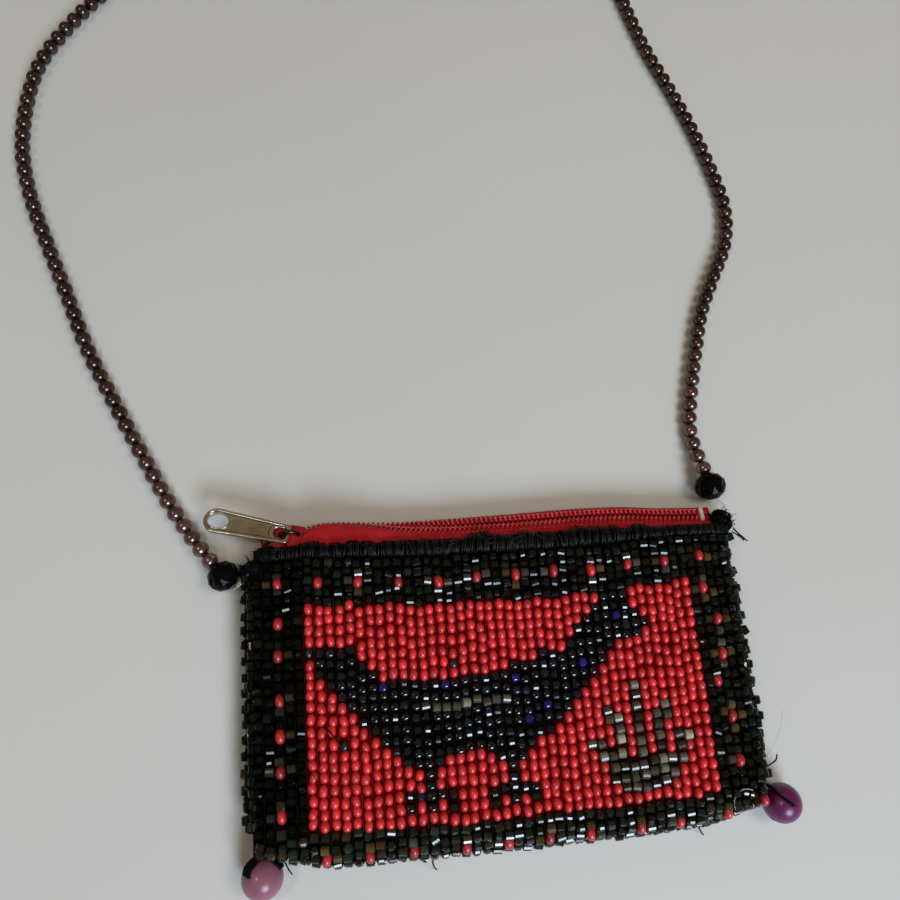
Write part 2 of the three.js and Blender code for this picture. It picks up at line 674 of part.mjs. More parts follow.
// A cloth bag inside the weave, open towards the zip
function liningBag() {
  const boxBetween = (halfX, from, to, low, high) =>
    new THREE.BoxGeometry(2 * halfX, to - from, high - low)
      .translate(0, (from + to) / 2, (low + high) / 2);
  const half = HALF_FIELD - SEAM_GAP;
  const bottom = FOLD_LINE + 2 * SEAM_GAP;
  const mouth = TAPE_START - SEAM_GAP;
  const low = BEAD_THICKNESS + SEAM_GAP;
  const high = FRONT_INNER - SEAM_GAP;
  const cloth = boxBetween(half, bottom, mouth, low, high);
  const room = boxBetween(half - LINING_WALL, bottom + LINING_WALL, mouth + LINING_WALL,
    low + LINING_WALL, high - LINING_WALL);
  return fromSolid(toSolid(cloth).subtract(toSolid(room)));
}

// Zip: places across the chain, carried to the purse's own frame
function chainPlace(across) {
  return [ZIP_Y + across * Math.cos(ZIP_ROLL), ZIP_Z - across * Math.sin(ZIP_ROLL)];
}

function frontTape() {
  const line = [
    [TAPE_START, FRONT_TAPE_Z],
    [TOP_EDGE - 4 * TAPE_THICKNESS, FRONT_TAPE_Z],
    chainPlace(-SLIDER_WIDTH / 2 - TAPE_THICKNESS),
    chainPlace(-CHAIN_HALF - SEAM_GAP),
  ];
  return extrudeAlongX(stripOutline(line, TAPE_THICKNESS), -TAPE_END, TAPE_END);
}

function backTape() {
  const [outY, outZ] = chainPlace(SLIDER_WIDTH / 2 + TAPE_THICKNESS);
  const line = [
    chainPlace(CHAIN_HALF + SEAM_GAP),
    [outY, outZ],
    [outY + TAPE_THICKNESS / 2, BACK_TAPE_Z + 2 * TAPE_THICKNESS],
    [outY - 2 * TAPE_THICKNESS, BACK_TAPE_Z],
    [TAPE_START, BACK_TAPE_Z],
  ];
  return extrudeAlongX(stripOutline(line, TAPE_THICKNESS), -TAPE_END, TAPE_END);
}

function coil(side) {
  const middle = side * (COIL_SLOT + COIL_WIDTH) / 2;
  const ring = [];
  const sides = 8;
  for (let k = 0; k < sides; k += 1) {
    const turn = ((k + 0.5) * 2 * Math.PI) / sides;
    const reach = 1 / Math.cos(Math.PI / sides);
    ring.push([
      middle + (COIL_WIDTH / 2) * reach * Math.cos(turn),
      (COIL_HEIGHT / 2) * reach * Math.sin(turn),
    ]);
  }
  return extrudeAlongX(ring, COIL_LEFT, COIL_RIGHT);
}

function stopBlock(from, low, high) {
  return new THREE.BoxGeometry(STOP_LENGTH, high - low, STOP_HEIGHT)
    .translate(from + STOP_LENGTH / 2, (low + high) / 2, 0);
}

// Slider: two plates with flanges round the chain, a bridge in the slot and a crown for the pull
function sliderBody() {
  const half = SLIDER_LENGTH / 2;
  const wide = SLIDER_WIDTH / 2;
  const nose = SLIDER_NOSE_WIDTH / 2;
  const corner = SLIDER_CORNER;
  const plateOutline = [
    [-half, -wide + corner], [-half + corner, -wide], [0, -wide], [half - corner, -nose],
    [half, -nose + corner], [half, nose - corner], [half - corner, nose], [0, wide],
    [-half + corner, wide], [-half, wide - corner],
  ];
  const plateShape = shapeOf(plateOutline);
  const plate = (low) =>
    new THREE.ExtrudeGeometry(plateShape, { depth: SLIDER_PLATE, bevelEnabled: false })
      .translate(0, 0, low);
  const flangeGap = TAPE_THICKNESS / 2 + SLIDER_CLEARANCE;
  const flangeHeight = PLATE_INNER - flangeGap + SLIDER_PLATE / 2;
  const flangeY = wide - FLANGE_WIDTH / 2;
  const flangeZ = flangeGap + flangeHeight / 2;
  const flange = (side, up) => new THREE.BoxGeometry(half, FLANGE_WIDTH, flangeHeight)
    .translate((SLIDER_CORNER - half) / 2, side * flangeY, up * flangeZ);
  const bridge = new THREE.BoxGeometry(BRIDGE_LENGTH, BRIDGE_WIDTH, 2 * PLATE_INNER + SLIDER_PLATE)
    .translate(SLIDER_CORNER - half + BRIDGE_LENGTH / 2, 0, 0);
  const crownHalf = CROWN_LENGTH / 2;
  const crownTop = PLATE_OUTER + CROWN_WINDOW + CROWN_BAR;
  const crownFoot = PLATE_OUTER - SLIDER_PLATE / 2;
  const arch = shapeOf([
    [-crownHalf, crownFoot], [crownHalf, crownFoot], [crownHalf, crownTop - CROWN_BAR],
    [crownHalf - CROWN_BAR, crownTop], [-crownHalf + CROWN_BAR, crownTop],
    [-crownHalf, crownTop - CROWN_BAR],
  ]);
  const windowHalf = crownHalf - CROWN_BAR;
  arch.holes.push(new THREE.Path([
    [-windowHalf, PLATE_OUTER], [-windowHalf, PLATE_OUTER + CROWN_WINDOW],
    [windowHalf, PLATE_OUTER + CROWN_WINDOW], [windowHalf, PLATE_OUTER],
  ].map(([a, b]) => new THREE.Vector2(a, b))));
  const crown = new THREE.ExtrudeGeometry(arch, { depth: CROWN_WIDTH, bevelEnabled: false })
    .rotateX(Math.PI / 2).translate(0, CROWN_WIDTH / 2, 0);
  const pieces = [plate(PLATE_INNER), plate(-PLATE_OUTER), bridge, crown];
  for (const side of [-1, 1]) {
    pieces.push(flange(side, 1), flange(side, -1));
  }
  return fromSolid(joined(pieces));
}

// Pull: a tapered tab with an eye for the crown, an oval hole and a raised rim
function ovalPath(centre, length, width, points) {
  const path = [];
  for (let k = 0; k < points; k += 1) {
    const turn = (2 * Math.PI * k) / points;
    path.push(new THREE.Vector2(centre + (length / 2) * Math.cos(turn), (width / 2) * Math.sin(turn)));
  }
  return new THREE.Path(path);
}

function tabOutline(inset) {
  const base = PULL_BASE_WIDTH / 2 - inset;
  const tip = PULL_TIP_WIDTH / 2 - inset;
  const start = -PULL_BAR / 2 + inset;
  const arcCentre = PULL_LENGTH - PULL_BAR / 2 - PULL_TIP_WIDTH / 2;
  const corner = PULL_CORNER;
  const outline = [[start, base - corner], [start, -base + corner], [start + corner, -base]];
  const arcPoints = 10;
  for (let k = 0; k <= arcPoints; k += 1) {
    const turn = -Math.PI / 2 + (Math.PI * k) / arcPoints;
    outline.push([arcCentre + tip * Math.cos(turn), tip * Math.sin(turn)]);
  }
  outline.push([start + corner, base]);
  return outline;
}

function sliderPull() {
  const ovalCentre = PULL_LENGTH - PULL_BAR / 2 - PULL_TIP_WIDTH / 2 - PULL_BAR / 2;
  const tab = shapeOf(tabOutline(0));
  const eyeNear = PULL_BAR / 2;
  const eyeFar = eyeNear + PULL_EYE_LENGTH;
  const eyeHalf = PULL_EYE_WIDTH / 2;
  tab.holes.push(new THREE.Path([
    [eyeNear, -eyeHalf], [eyeNear, eyeHalf], [eyeFar, eyeHalf], [eyeFar, -eyeHalf],
  ].map(([a, b]) => new THREE.Vector2(a, b))));
  tab.holes.push(ovalPath(ovalCentre, PULL_HOLE_LENGTH, PULL_HOLE_WIDTH, 16));
  const plate = new THREE.ExtrudeGeometry(tab, { depth: PULL_THICKNESS, bevelEnabled: false })
    .translate(0, 0, -PULL_THICKNESS / 2);
  const ring = shapeOf(tabOutline(0));
  ring.holes.push(new THREE.Path(tabOutline(PULL_RIM_WIDTH).map(([a, b]) => new THREE.Vector2(a, b))));
  const rimHeight = PULL_THICKNESS / 2 + PULL_RIM;
  const rimStart = PULL_BAR / 2 + PULL_EYE_LENGTH;
  const rim = new THREE.ExtrudeGeometry(ring, { depth: rimHeight, bevelEnabled: false });
  const beyondEye = new THREE.BoxGeometry(PULL_LENGTH, 2 * PULL_TIP_WIDTH, 4 * rimHeight)
    .translate(rimStart + PULL_LENGTH / 2, 0, 0);
  const raised = toSolid(rim).intersect(toSolid(beyondEye));
  return fromSolid(toSolid(plate).add(raised));
}

// Strap: the strand's centre line, and the crystals and knots it runs to
function strapPoints() {
  const height = PEARL / 2 + STRAP_LIFT;
  const from = ([x, y]) => ([dx, dy]) => new THREE.Vector3(x + dx, y + dy, height);
  return [...LEFT_STRAND.map(from(LEFT_CRYSTAL)), ...RIGHT_STRAND.map(from(RIGHT_CRYSTAL))];
}

function crystalAt([x, y], [stepX, stepY]) {
  const crystal = drilledBall(CRYSTAL, CRYSTAL_HOLE, 10, 5);
  crystal.rotateZ(Math.PI / 2);
  return crystal.rotateZ(Math.atan2(stepY, stepX)).translate(x, y, CRYSTAL / 2);
}

function knotAt([x, y, z], size) {
  return new THREE.IcosahedronGeometry(size / 2, 1).translate(x, y, z);
}

function nylonLoop(from, to, sideways) {
  const middle = from.clone().lerp(to, 0.5).add(sideways);
  return tube([from, middle, to], NYLON / 2, 6, 6);
}

// Corner bead with its hole across the corner, and the thread that binds it
function cornerBead([x, y]) {
  return drilledBall(CORNER_BEAD, CORNER_BEAD_HOLE, 16, 10).rotateX(Math.PI / 2).rotateZ(Math.PI / 4)
    .translate(x, y, CORNER_BEAD / 2);
}

function cornerThread([x, y], [fromTurn, toTurn], tilt) {
  const reach = CORNER_BEAD / 2 + SEAM_GAP + CORNER_THREAD / 2;
  const points = [];
  const steps = 8;
  for (let k = 0; k <= steps; k += 1) {
    const turn = THREE.MathUtils.lerp(fromTurn, toTurn, k / steps);
    const point = new THREE.Vector3(reach * Math.cos(turn), reach * Math.sin(turn), 0);
    point.applyAxisAngle(new THREE.Vector3(Math.cos(fromTurn), Math.sin(fromTurn), 0), tilt);
    points.push(point.add(new THREE.Vector3(x, y, CORNER_BEAD / 2)));
  }
  return tube(points, CORNER_THREAD / 2, 6, 10);
}

// Front panel
const motifs = fieldMotifs();
addPiece('red_field_beads', beadField(motifCells(motifs, 'red')), RED_GLASS);
addPiece('bird_beads', beadField(motifCells(motifs, 'bird')), BLUE_BLACK_GLASS);
addPiece('wing_stripe_beads', beadField(motifCells(motifs, 'wing')), GREY_GLASS);
addPiece('sprig_beads', beadField(motifCells(motifs, 'sprig')), GREY_GLASS);
const leftBlock = block(0, BORDER_BEADS, -BORDER_BEADS, FIELD_ROWS);
const keptLeft = leftBlock.filter(([c, r]) => c + r + BORDER_BEADS >= CUT_CORNER_BEADS);
const topBlock = block(BORDER_BEADS, COLUMNS - BORDER_BEADS, -BORDER_BEADS, 0);
const rightBlock = block(COLUMNS - BORDER_BEADS, COLUMNS, -BORDER_BEADS, FIELD_ROWS);
addPiece('top_border_beads', beadField(topBlock), BLACK_GLASS);
addPiece('left_border_beads', beadField(keptLeft), BLACK_GLASS);
addPiece('right_border_beads', beadField(rightBlock), BLACK_GLASS);

// Fold, back and lining
addPiece('bottom_fold_beads', foldedBeads(), BLACK_GLASS);
addPiece('back_panel_beads', backBeads(), BLACK_GLASS);
addPiece('lining_bag', liningBag(), LINING_CLOTH);

// Edges
const bindingLeft = -HALF_WIDTH + CUT_CORNER_BEADS * COLUMN_PITCH;
const frontLow = (x) => BORDER_TOP + bowAt(x, -BORDER_BEADS) + SEAM_GAP / 2;
const frontUnder = () => FRONT_TAPE_Z + TAPE_THICKNESS / 2 + SEAM_GAP;
const frontOver = (x, rib) => faceZ(x) - BINDING_RIB_HEIGHT + rib;
addPiece('front_binding', binding(bindingLeft, HALF_WIDTH, BINDING_RIB_PITCH, frontLow, bindingEdge,
  frontUnder, frontOver), BLACK_THREAD);
const backLow = () => BORDER_TOP + SEAM_GAP;
const backUnder = (x, rib) => BINDING_RIB_HEIGHT - rib;
const backOver = () => BEAD_THICKNESS;
addPiece('back_binding', binding(-HALF_WIDTH, HALF_WIDTH, BACK_RIB_PITCH, backLow, () => TOP_EDGE,
  backUnder, backOver), BLACK_THREAD);
addPiece('left_edging', edging(-1, EDGING_START, LEFT_EDGING_END), BLACK_GLASS);
addPiece('right_edging', edging(1, EDGING_START, RIGHT_EDGING_END), BLACK_GLASS);

// Zip
addPiece('front_zip_tape', frontTape(), CRIMSON_TAPE);
addPiece('back_zip_tape', backTape(), CRIMSON_TAPE);
const chain = new THREE.Group();
chain.position.set(0, ZIP_Y, ZIP_Z);
chain.rotation.x = -ZIP_ROLL;
purse.add(chain);
addPiece('front_coil', coil(-1), CRIMSON_COIL, chain);
addPiece('back_coil', coil(1), CRIMSON_COIL, chain);
const topStopStart = COIL_LEFT - SEAM_GAP - STOP_LENGTH;
addPiece('front_top_stop', stopBlock(topStopStart, -CHAIN_HALF, -COIL_SLOT / 2), NICKEL, chain);
addPiece('back_top_stop', stopBlock(topStopStart, COIL_SLOT / 2, CHAIN_HALF), NICKEL, chain);
addPiece('bottom_stop', stopBlock(COIL_RIGHT + SEAM_GAP, -CHAIN_HALF, CHAIN_HALF), WHITE_STOP, chain);
const slider = new THREE.Group();
slider.position.set(SLIDER_X, 0, 0);
chain.add(slider);
addPiece('slider_body', sliderBody(), CRIMSON_ENAMEL, slider);
const pull = addPiece('slider_pull', sliderPull(), NICKEL, slider);
pull.position.set(0, 0, PULL_Z);
pull.rotation.z = Math.PI - PULL_YAW;

// Strap
addPiece('pearl_strand', tube(strapPoints(), PEARL / 2, STRAP_SIDES, STRAP_STEPS), PEARL_COAT);
addPiece('left_crystal', crystalAt(LEFT_CRYSTAL, LEFT_STRAND[0]), BLACK_CRYSTAL);
addPiece('right_crystal', crystalAt(RIGHT_CRYSTAL, RIGHT_STRAND.at(-1)), BLACK_CRYSTAL);
addPiece('left_corner_knot', knotAt(LEFT_KNOT, LEFT_KNOT_SIZE), BLACK_THREAD);
addPiece('right_corner_knot', knotAt(RIGHT_KNOT, RIGHT_KNOT_SIZE), BLACK_THREAD);
const loopTop = RIGHT_CRYSTAL[1] - CRYSTAL / 2 - SEAM_GAP;
const loopSpread = NYLON / 2 + SEAM_GAP;
const knotTop = RIGHT_KNOT[1] + RIGHT_KNOT_SIZE / 2 + NYLON;
const loopEnds = [
  ['tape_nylon_loop', -1, new THREE.Vector3(...TAPE_LOOP_END)],
  ['knot_nylon_loop', 1, new THREE.Vector3(RIGHT_KNOT[0], knotTop, RIGHT_KNOT[2])],
];
for (const [name, side, end] of loopEnds) {
  const start = new THREE.Vector3(RIGHT_CRYSTAL[0] + side * loopSpread, loopTop, CRYSTAL / 2);
  addPiece(name, nylonLoop(start, end, new THREE.Vector3(side * 2 * loopSpread, 0, 0)), CLEAR_NYLON);
}

// Corner beads
addPiece('left_corner_bead', cornerBead(LEFT_BEAD), MAUVE_BEAD);
addPiece('right_corner_bead', cornerBead(RIGHT_BEAD), PURPLE_BEAD);
addPiece('left_bead_thread', cornerThread(LEFT_BEAD, LEFT_THREAD_ARC, LEFT_THREAD_TILT), BLACK_THREAD);
addPiece('right_bead_thread', cornerThread(RIGHT_BEAD, RIGHT_THREAD_ARC, RIGHT_THREAD_TILT), BLACK_THREAD);

export default purse;
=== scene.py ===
import math

import bmesh
import bpy
import numpy as np
from mathutils import Matrix


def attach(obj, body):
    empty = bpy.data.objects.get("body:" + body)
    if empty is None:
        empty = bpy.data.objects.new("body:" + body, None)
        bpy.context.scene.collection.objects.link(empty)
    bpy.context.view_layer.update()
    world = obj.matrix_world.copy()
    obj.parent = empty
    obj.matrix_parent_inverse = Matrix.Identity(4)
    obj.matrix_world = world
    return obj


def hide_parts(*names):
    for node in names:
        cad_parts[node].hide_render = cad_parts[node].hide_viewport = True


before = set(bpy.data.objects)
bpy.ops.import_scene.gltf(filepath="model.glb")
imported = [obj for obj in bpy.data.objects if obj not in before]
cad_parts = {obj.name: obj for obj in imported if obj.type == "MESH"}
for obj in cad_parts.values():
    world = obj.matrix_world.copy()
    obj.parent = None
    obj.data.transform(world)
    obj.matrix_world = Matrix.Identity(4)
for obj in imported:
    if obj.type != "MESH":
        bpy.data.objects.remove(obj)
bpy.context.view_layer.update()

# A beaded coin purse lying on its back. Lengths are millimetres in the CAD frame until a mesh is made.
MM = 0.001

# Weave, as in the CAD model
COLUMN_PITCH = 2.46
ROW_PITCH = 2.5
BORDER_PITCH = 2.4
BACK_PITCH = 2.48
COLUMNS = 50
FIELD_COLUMNS = 40
FIELD_ROWS = 20
BORDER_BEADS = 5
FOLD_ROWS = 7
FOLD_END = FOLD_ROWS + 1
BACK_ROW = FIELD_ROWS + FOLD_END
BACK_ROWS = 26
LAST_ROW = BACK_ROW + BACK_ROWS
HALF_FIELD = FIELD_COLUMNS / 2 * COLUMN_PITCH
HALF_WIDTH = COLUMNS / 2 * COLUMN_PITCH
LEVEL_HALF = 7 * COLUMN_PITCH
CORNER_HALF = 18 * COLUMN_PITCH
FIELD_TOP = FIELD_ROWS / 2 * ROW_PITCH
BORDER_TOP = FIELD_TOP + BORDER_BEADS * BORDER_PITCH
FRONT_FACE = 11.0
SIDE_DROP = 1.4
TOP_BOW = 1.4
FIELD_BOW = 2.4
BOTTOM_BOW = 1.0
FOLD_CORNER_CUT = 4.0
CUT_CORNER_BEADS = 2

# Zip, as in the CAD model
TOP_EDGE = 41.25
TAPE_START = 35.25
TAPE_END = 59.5
FRONT_TAPE_Z = 6.98
BACK_TAPE_Z = 2.85
ZIP_Y = 44.25
ZIP_Z = 6.05
ZIP_ROLL = math.radians(12)
COIL_LEFT = -57.4
COIL_RIGHT = 56.3
COIL_MIDDLE = 1.0
CHAIN_HALF = 1.95
TOOTH_PITCH = 1.27
SLIDER_X = -52.1
SLIDER_LENGTH = 8.2
SLIDER_END = SLIDER_X + 103.0
SLIDER_WIDTH = 5.4
SLIDER_NOSE_WIDTH = 4.2
PLATE_INNER = 1.05
PLATE_OUTER = 1.75
PULL_Z = 2.85
PULL_YAW = math.radians(16.5)
PULL_DROOP = math.radians(2.6)

# Strap and corner pieces, as in the CAD model
PEARL = 4.2
PEARL_STEP = 3.9
STRAP_HEIGHT = 2.15
CRYSTAL = 8.0
LEFT_CRYSTAL = (-68.8, 36.0)
RIGHT_CRYSTAL = (62.3, 52.5)
LEFT_KNOT = (-63.1, 36.4, 4.6)
RIGHT_KNOT = (62.3, 42.0, 5.6)
CORNER_BEAD = 9.5
LEFT_BEAD = (-60.1, -32.8, 4.8)
RIGHT_BEAD = (66.6, -29.0, 4.8)
LEFT_STRAND = [
    [-2.1, 2.55], [-7.5, 9.7], [-13.5, 19.1], [-21.1, 33.5], [-28.5, 48.1], [-35.6, 63.0],
    [-41.2, 78.1], [-47.0, 93.3], [-52.4, 108.6], [-55.5, 123.0], [-55.5, 138.6],
    [-52.6, 153.6], [-45.2, 167.4], [-35.7, 180.0], [-23.7, 191.5], [-8.7, 202.0],
    [10.8, 211.0], [32.8, 217.5],
]
RIGHT_STRAND = [
    [-72.3, 204.0], [-46.3, 202.5], [-25.3, 196.0], [-10.8, 185.0], [-3.3, 173.0], [0.3, 159.5],
    [4.1, 146.0], [9.5, 132.0], [14.7, 116.7], [18.7, 101.1], [20.7, 88.5], [18.6, 75.7],
    [12.7, 64.3], [6.9, 52.4], [2.9, 39.5], [-0.5, 27.1], [-2.5, 17.5], [-2.1, 9.9], [-0.6, 3.25],
]

# Motifs, in beads from the field's upper left corner
BIRD_OUTLINE = [
    [1, 4], [5, 4], [8, 7.2], [19, 7.4], [20.2, 5.8], [25.4, 5.2], [27.6, 3.2], [29.8, 1],
    [30.4, 0], [33, 0], [33.8, 2.6], [35.4, 3.4], [35.4, 4.4], [32, 4.6], [30.8, 6],
    [28.6, 8], [26.6, 9.8], [25.6, 10.6], [23, 13], [20.4, 15.4], [18, 14.6], [16, 13.9],
    [14, 14], [12.4, 15.6], [10, 15.2], [7.4, 12.6], [5, 10], [2.4, 8.4], [1, 6],
]
LEG_COLUMNS = (11, 19)
LEG_TOP_ROW = 14
FOOT_ROW = 17
FOOT_REACH = 2
WING_ROW = 9
WING_FIRST = 11
WING_LAST = 19
SPRIG_BLADES = [
    ((32, 18), (32, 9)), ((31, 18), (29, 11)), ((33, 18), (35, 11)),
    ((30, 18), (27, 14)), ((34, 18), (37, 14)),
]

# Flower dots of the border: middle beads by column and row
DOTS = [(2 + 4 * k, -3) for k in range(12)]
DOTS += [(2, r) for r in (1, 4, 8, 11, 14, 18)]
DOTS += [(46, 1), (47, 4), (47, 7), (46, 10), (47, 13), (47, 17)]
DOTS += [(c, 22) for c in (6, 10, 14, 19, 23, 27, 31, 36, 40, 45, 49)]

# Camera that was fitted to the photograph
CAMERA_PLACE = (-36.97, 10.88, 205.52)
CAMERA_RIGHT = (0.99048, -0.07661, 0.11441)
CAMERA_UP = (0.04333, 0.96214, 0.26910)
CAMERA_BACK = (-0.13070, -0.26157, 0.95629)
CAMERA_LENS = 31.315


# Small vector tools
def unit(vectors):
    vectors = np.asarray(vectors, float)
    return vectors / np.linalg.norm(vectors, axis=-1, keepdims=True)


def smooth_step(low, high, value):
    share = np.clip((np.asarray(value, float) - low) / (high - low), 0, 1)
    return share * share * (3 - 2 * share)


def at(place):
    return Matrix.Translation(place)


def about(axis, angle):
    return Matrix.Rotation(angle, 4, axis)


def curve_through(points, per_span):
    """A centripetal curve through the points, per_span steps in each span."""
    points = np.asarray(points, float)
    ends = np.vstack([2 * points[0] - points[1], points, 2 * points[-1] - points[-2]])
    line = []
    for k in range(len(points) - 1):
        p0, p1, p2, p3 = ends[k:k + 4]
        d0, d1, d2 = (math.sqrt(np.linalg.norm(b - a)) for a, b in ((p0, p1), (p1, p2), (p2, p3)))
        m1 = ((p1 - p0) / d0 - (p2 - p0) / (d0 + d1) + (p2 - p1) / d1) * d1
        m2 = ((p2 - p1) / d1 - (p3 - p1) / (d1 + d2) + (p3 - p2) / d2) * d1
        for t in np.arange(per_span) / per_span:
            line.append(p1 + m1 * t + (3 * (p2 - p1) - 2 * m1 - m2) * t * t
                        + (2 * (p1 - p2) + m1 + m2) * t ** 3)
    line.append(points[-1])
    return np.array(line)


def run_along(line):
    """How far each point of a line is from its start."""
    return np.concatenate([[0], np.cumsum(np.linalg.norm(np.diff(line, axis=0), axis=1))])


def spaced(line, count):
    """count points at even steps along a line."""
    run = run_along(line)
    places = np.linspace(0, run[-1], count)
    return np.stack([np.interp(places, run, line[:, k]) for k in range(3)], -1)


# Solids as arrays of points and triangles
def facing_out(points, faces):
    corners = points[faces]
    volume = np.einsum("ij,ij->i", corners[:, 0], np.cross(corners[:, 1], corners[:, 2])).sum()
    return (points, faces) if volume > 0 else (points, faces[:, ::-1].copy())


def joined(solids):
    offsets = np.cumsum([0] + [len(points) for points, _ in solids])
    points = np.concatenate([points for points, _ in solids])
    faces = np.concatenate([faces + offset for (_, faces), offset in zip(solids, offsets)])
    return points, faces


def moved(solid, matrix):
    points, faces = solid
    matrix = np.array(matrix)
    return points @ matrix[:3, :3].T + matrix[:3, 3], faces


def loft(sections, ring=False):
    """A closed solid through sections with equal numbers of points. A ring joins its last to its first."""
    sections = np.asarray(sections, float)
    count, around = sections.shape[:2]
    k = np.arange(around)
    after = (k + 1) % around
    faces = []
    for s in range(count if ring else count - 1):
        a, b = s * around, (s + 1) % count * around
        faces += [np.stack([a + k, a + after, b + after], -1), np.stack([a + k, b + after, b + k], -1)]
    points = sections.reshape(-1, 3)
    if not ring:
        first, last = len(points), len(points) + 1
        points = np.vstack([points, sections[0].mean(0), sections[-1].mean(0)])
        base = (count - 1) * around
        faces.append(np.stack([after, k, np.full(around, first)], -1))
        faces.append(np.stack([base + k, base + after, np.full(around, last)], -1))
    return facing_out(points, np.concatenate(faces))


def hoop(x, radius, sides, turn=0.0):
    """A ring of points about the X axis."""
    angles = (np.arange(sides) + turn) * 2 * math.pi / sides
    return np.stack([np.full(sides, x), radius * np.cos(angles), radius * np.sin(angles)], -1)


def lathe(profile, sides, stagger=False):
    """A closed solid of revolution about X. The profile runs from pole to pole."""
    half_step = 0.5 if stagger else 0.0
    rings = [hoop(x, radius, sides, half_step * (k % 2)) for k, (x, radius) in enumerate(profile[1:-1])]
    points, faces = loft(rings)
    points[-2:] = [(profile[end][0], 0, 0) for end in (0, -1)]
    return points, faces


def bead(half, sides, stagger=False):
    """A lathe whose profile is given from one pole to the middle, and mirrored."""
    return lathe(half + [(-x, radius) for x, radius in half[::-1] if x], sides, stagger)


def ball_profile(radius, start, steps):
    """Profile of a ball, from an angle off one pole to the same angle off the other."""
    turns = np.linspace(start, math.pi - start, steps)
    return [(-radius * math.cos(t), radius * math.sin(t)) for t in turns]


def tube(path, radius, sides=6):
    """A round solid along a path. The radius is one number or one for each point."""
    path = np.asarray(path, float)
    tangents = unit(np.gradient(path, axis=0))
    start = np.eye(3)[np.argmin(np.abs(tangents[0]))]
    side = unit(np.cross(tangents[0], start))
    turn = np.arange(sides) * 2 * math.pi / sides
    rings = []
    for point, tangent, reach in zip(path, tangents, np.broadcast_to(radius, len(path))):
        side = unit(side - tangent * np.dot(side, tangent))
        up = np.cross(tangent, side)
        rings.append(point + reach * (np.outer(np.cos(turn), side) + np.outer(np.sin(turn), up)))
    return loft(rings)


def copies(template, centres, frames, sizes):
    """Copies of a template at given centres, with axes in the frames' columns."""
    points, faces = template
    shaped = points[None] * sizes[:, None, :]
    placed = np.einsum("nij,nkj->nki", frames, shaped) + centres[:, None, :]
    offsets = np.arange(len(centres)) * len(points)
    return placed.reshape(-1, 3), (faces[None] + offsets[:, None, None]).reshape(-1, 3)


def with_values(data, **values):
    for key, value in values.items():
        setattr(data, key, value)
    return data


def add_object(name, data):
    made = bpy.data.objects.new(name, data)
    bpy.context.scene.collection.objects.link(made)
    return made


def plate(outlines, thickness, bevel):
    """A flat plate with rounded edges. The first outline is its edge, the others are holes."""
    curve = with_values(bpy.data.curves.new("outline", "CURVE"), dimensions="2D", fill_mode="BOTH",
                        extrude=thickness / 2 - bevel, bevel_depth=bevel, bevel_resolution=2, offset=-bevel)
    for outline in outlines:
        spline = curve.splines.new("POLY")
        spline.points.add(len(outline) - 1)
        for point, (x, y) in zip(spline.points, outline):
            point.co = (x, y, 0, 1)
        spline.use_cyclic_u = True
    holder = add_object("outline", curve)
    depsgraph = bpy.context.evaluated_depsgraph_get()
    mesh = bpy.data.meshes.new_from_object(holder.evaluated_get(depsgraph))
    work = bmesh.new()
    work.from_mesh(mesh)
    bmesh.ops.remove_doubles(work, verts=work.verts, dist=0.001)
    bmesh.ops.triangulate(work, faces=work.faces)
    work.verts.index_update()
    points = np.array([vertex.co for vertex in work.verts])
    faces = np.array([[vertex.index for vertex in face.verts] for face in work.faces])
    work.free()
    bpy.data.objects.remove(holder)
    bpy.data.curves.remove(curve)
    bpy.data.meshes.remove(mesh)
    return facing_out(points, faces)


def add_piece(name, node, solid, material, body="purse", smooth=True, tints=None):
    """A piece of the visual model. It replaces the CAD node, where one is named."""
    points, faces = solid
    mesh = bpy.data.meshes.new(name)
    mesh.vertices.add(len(points))
    mesh.vertices.foreach_set("co", (points * MM).astype(np.float32).ravel())
    mesh.loops.add(faces.size)
    mesh.loops.foreach_set("vertex_index", faces.astype(np.int32).ravel())
    mesh.polygons.add(len(faces))
    mesh.polygons.foreach_set("loop_start", np.arange(0, faces.size, 3, dtype=np.int32))
    mesh.polygons.foreach_set("use_smooth", np.ascontiguousarray(np.broadcast_to(smooth, len(faces))))
    mesh.update(calc_edges=True)
    if tints is not None:
        colours = np.column_stack([tints, np.ones(len(tints))]).astype(np.float32)
        attribute = mesh.color_attributes.new("tint", "FLOAT_COLOR", "POINT")
        attribute.data.foreach_set("color", colours.ravel())
    mesh.materials.append(material)
    piece = add_object(name, mesh)
    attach(piece, body)
    if node:
        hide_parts(node)
    return piece


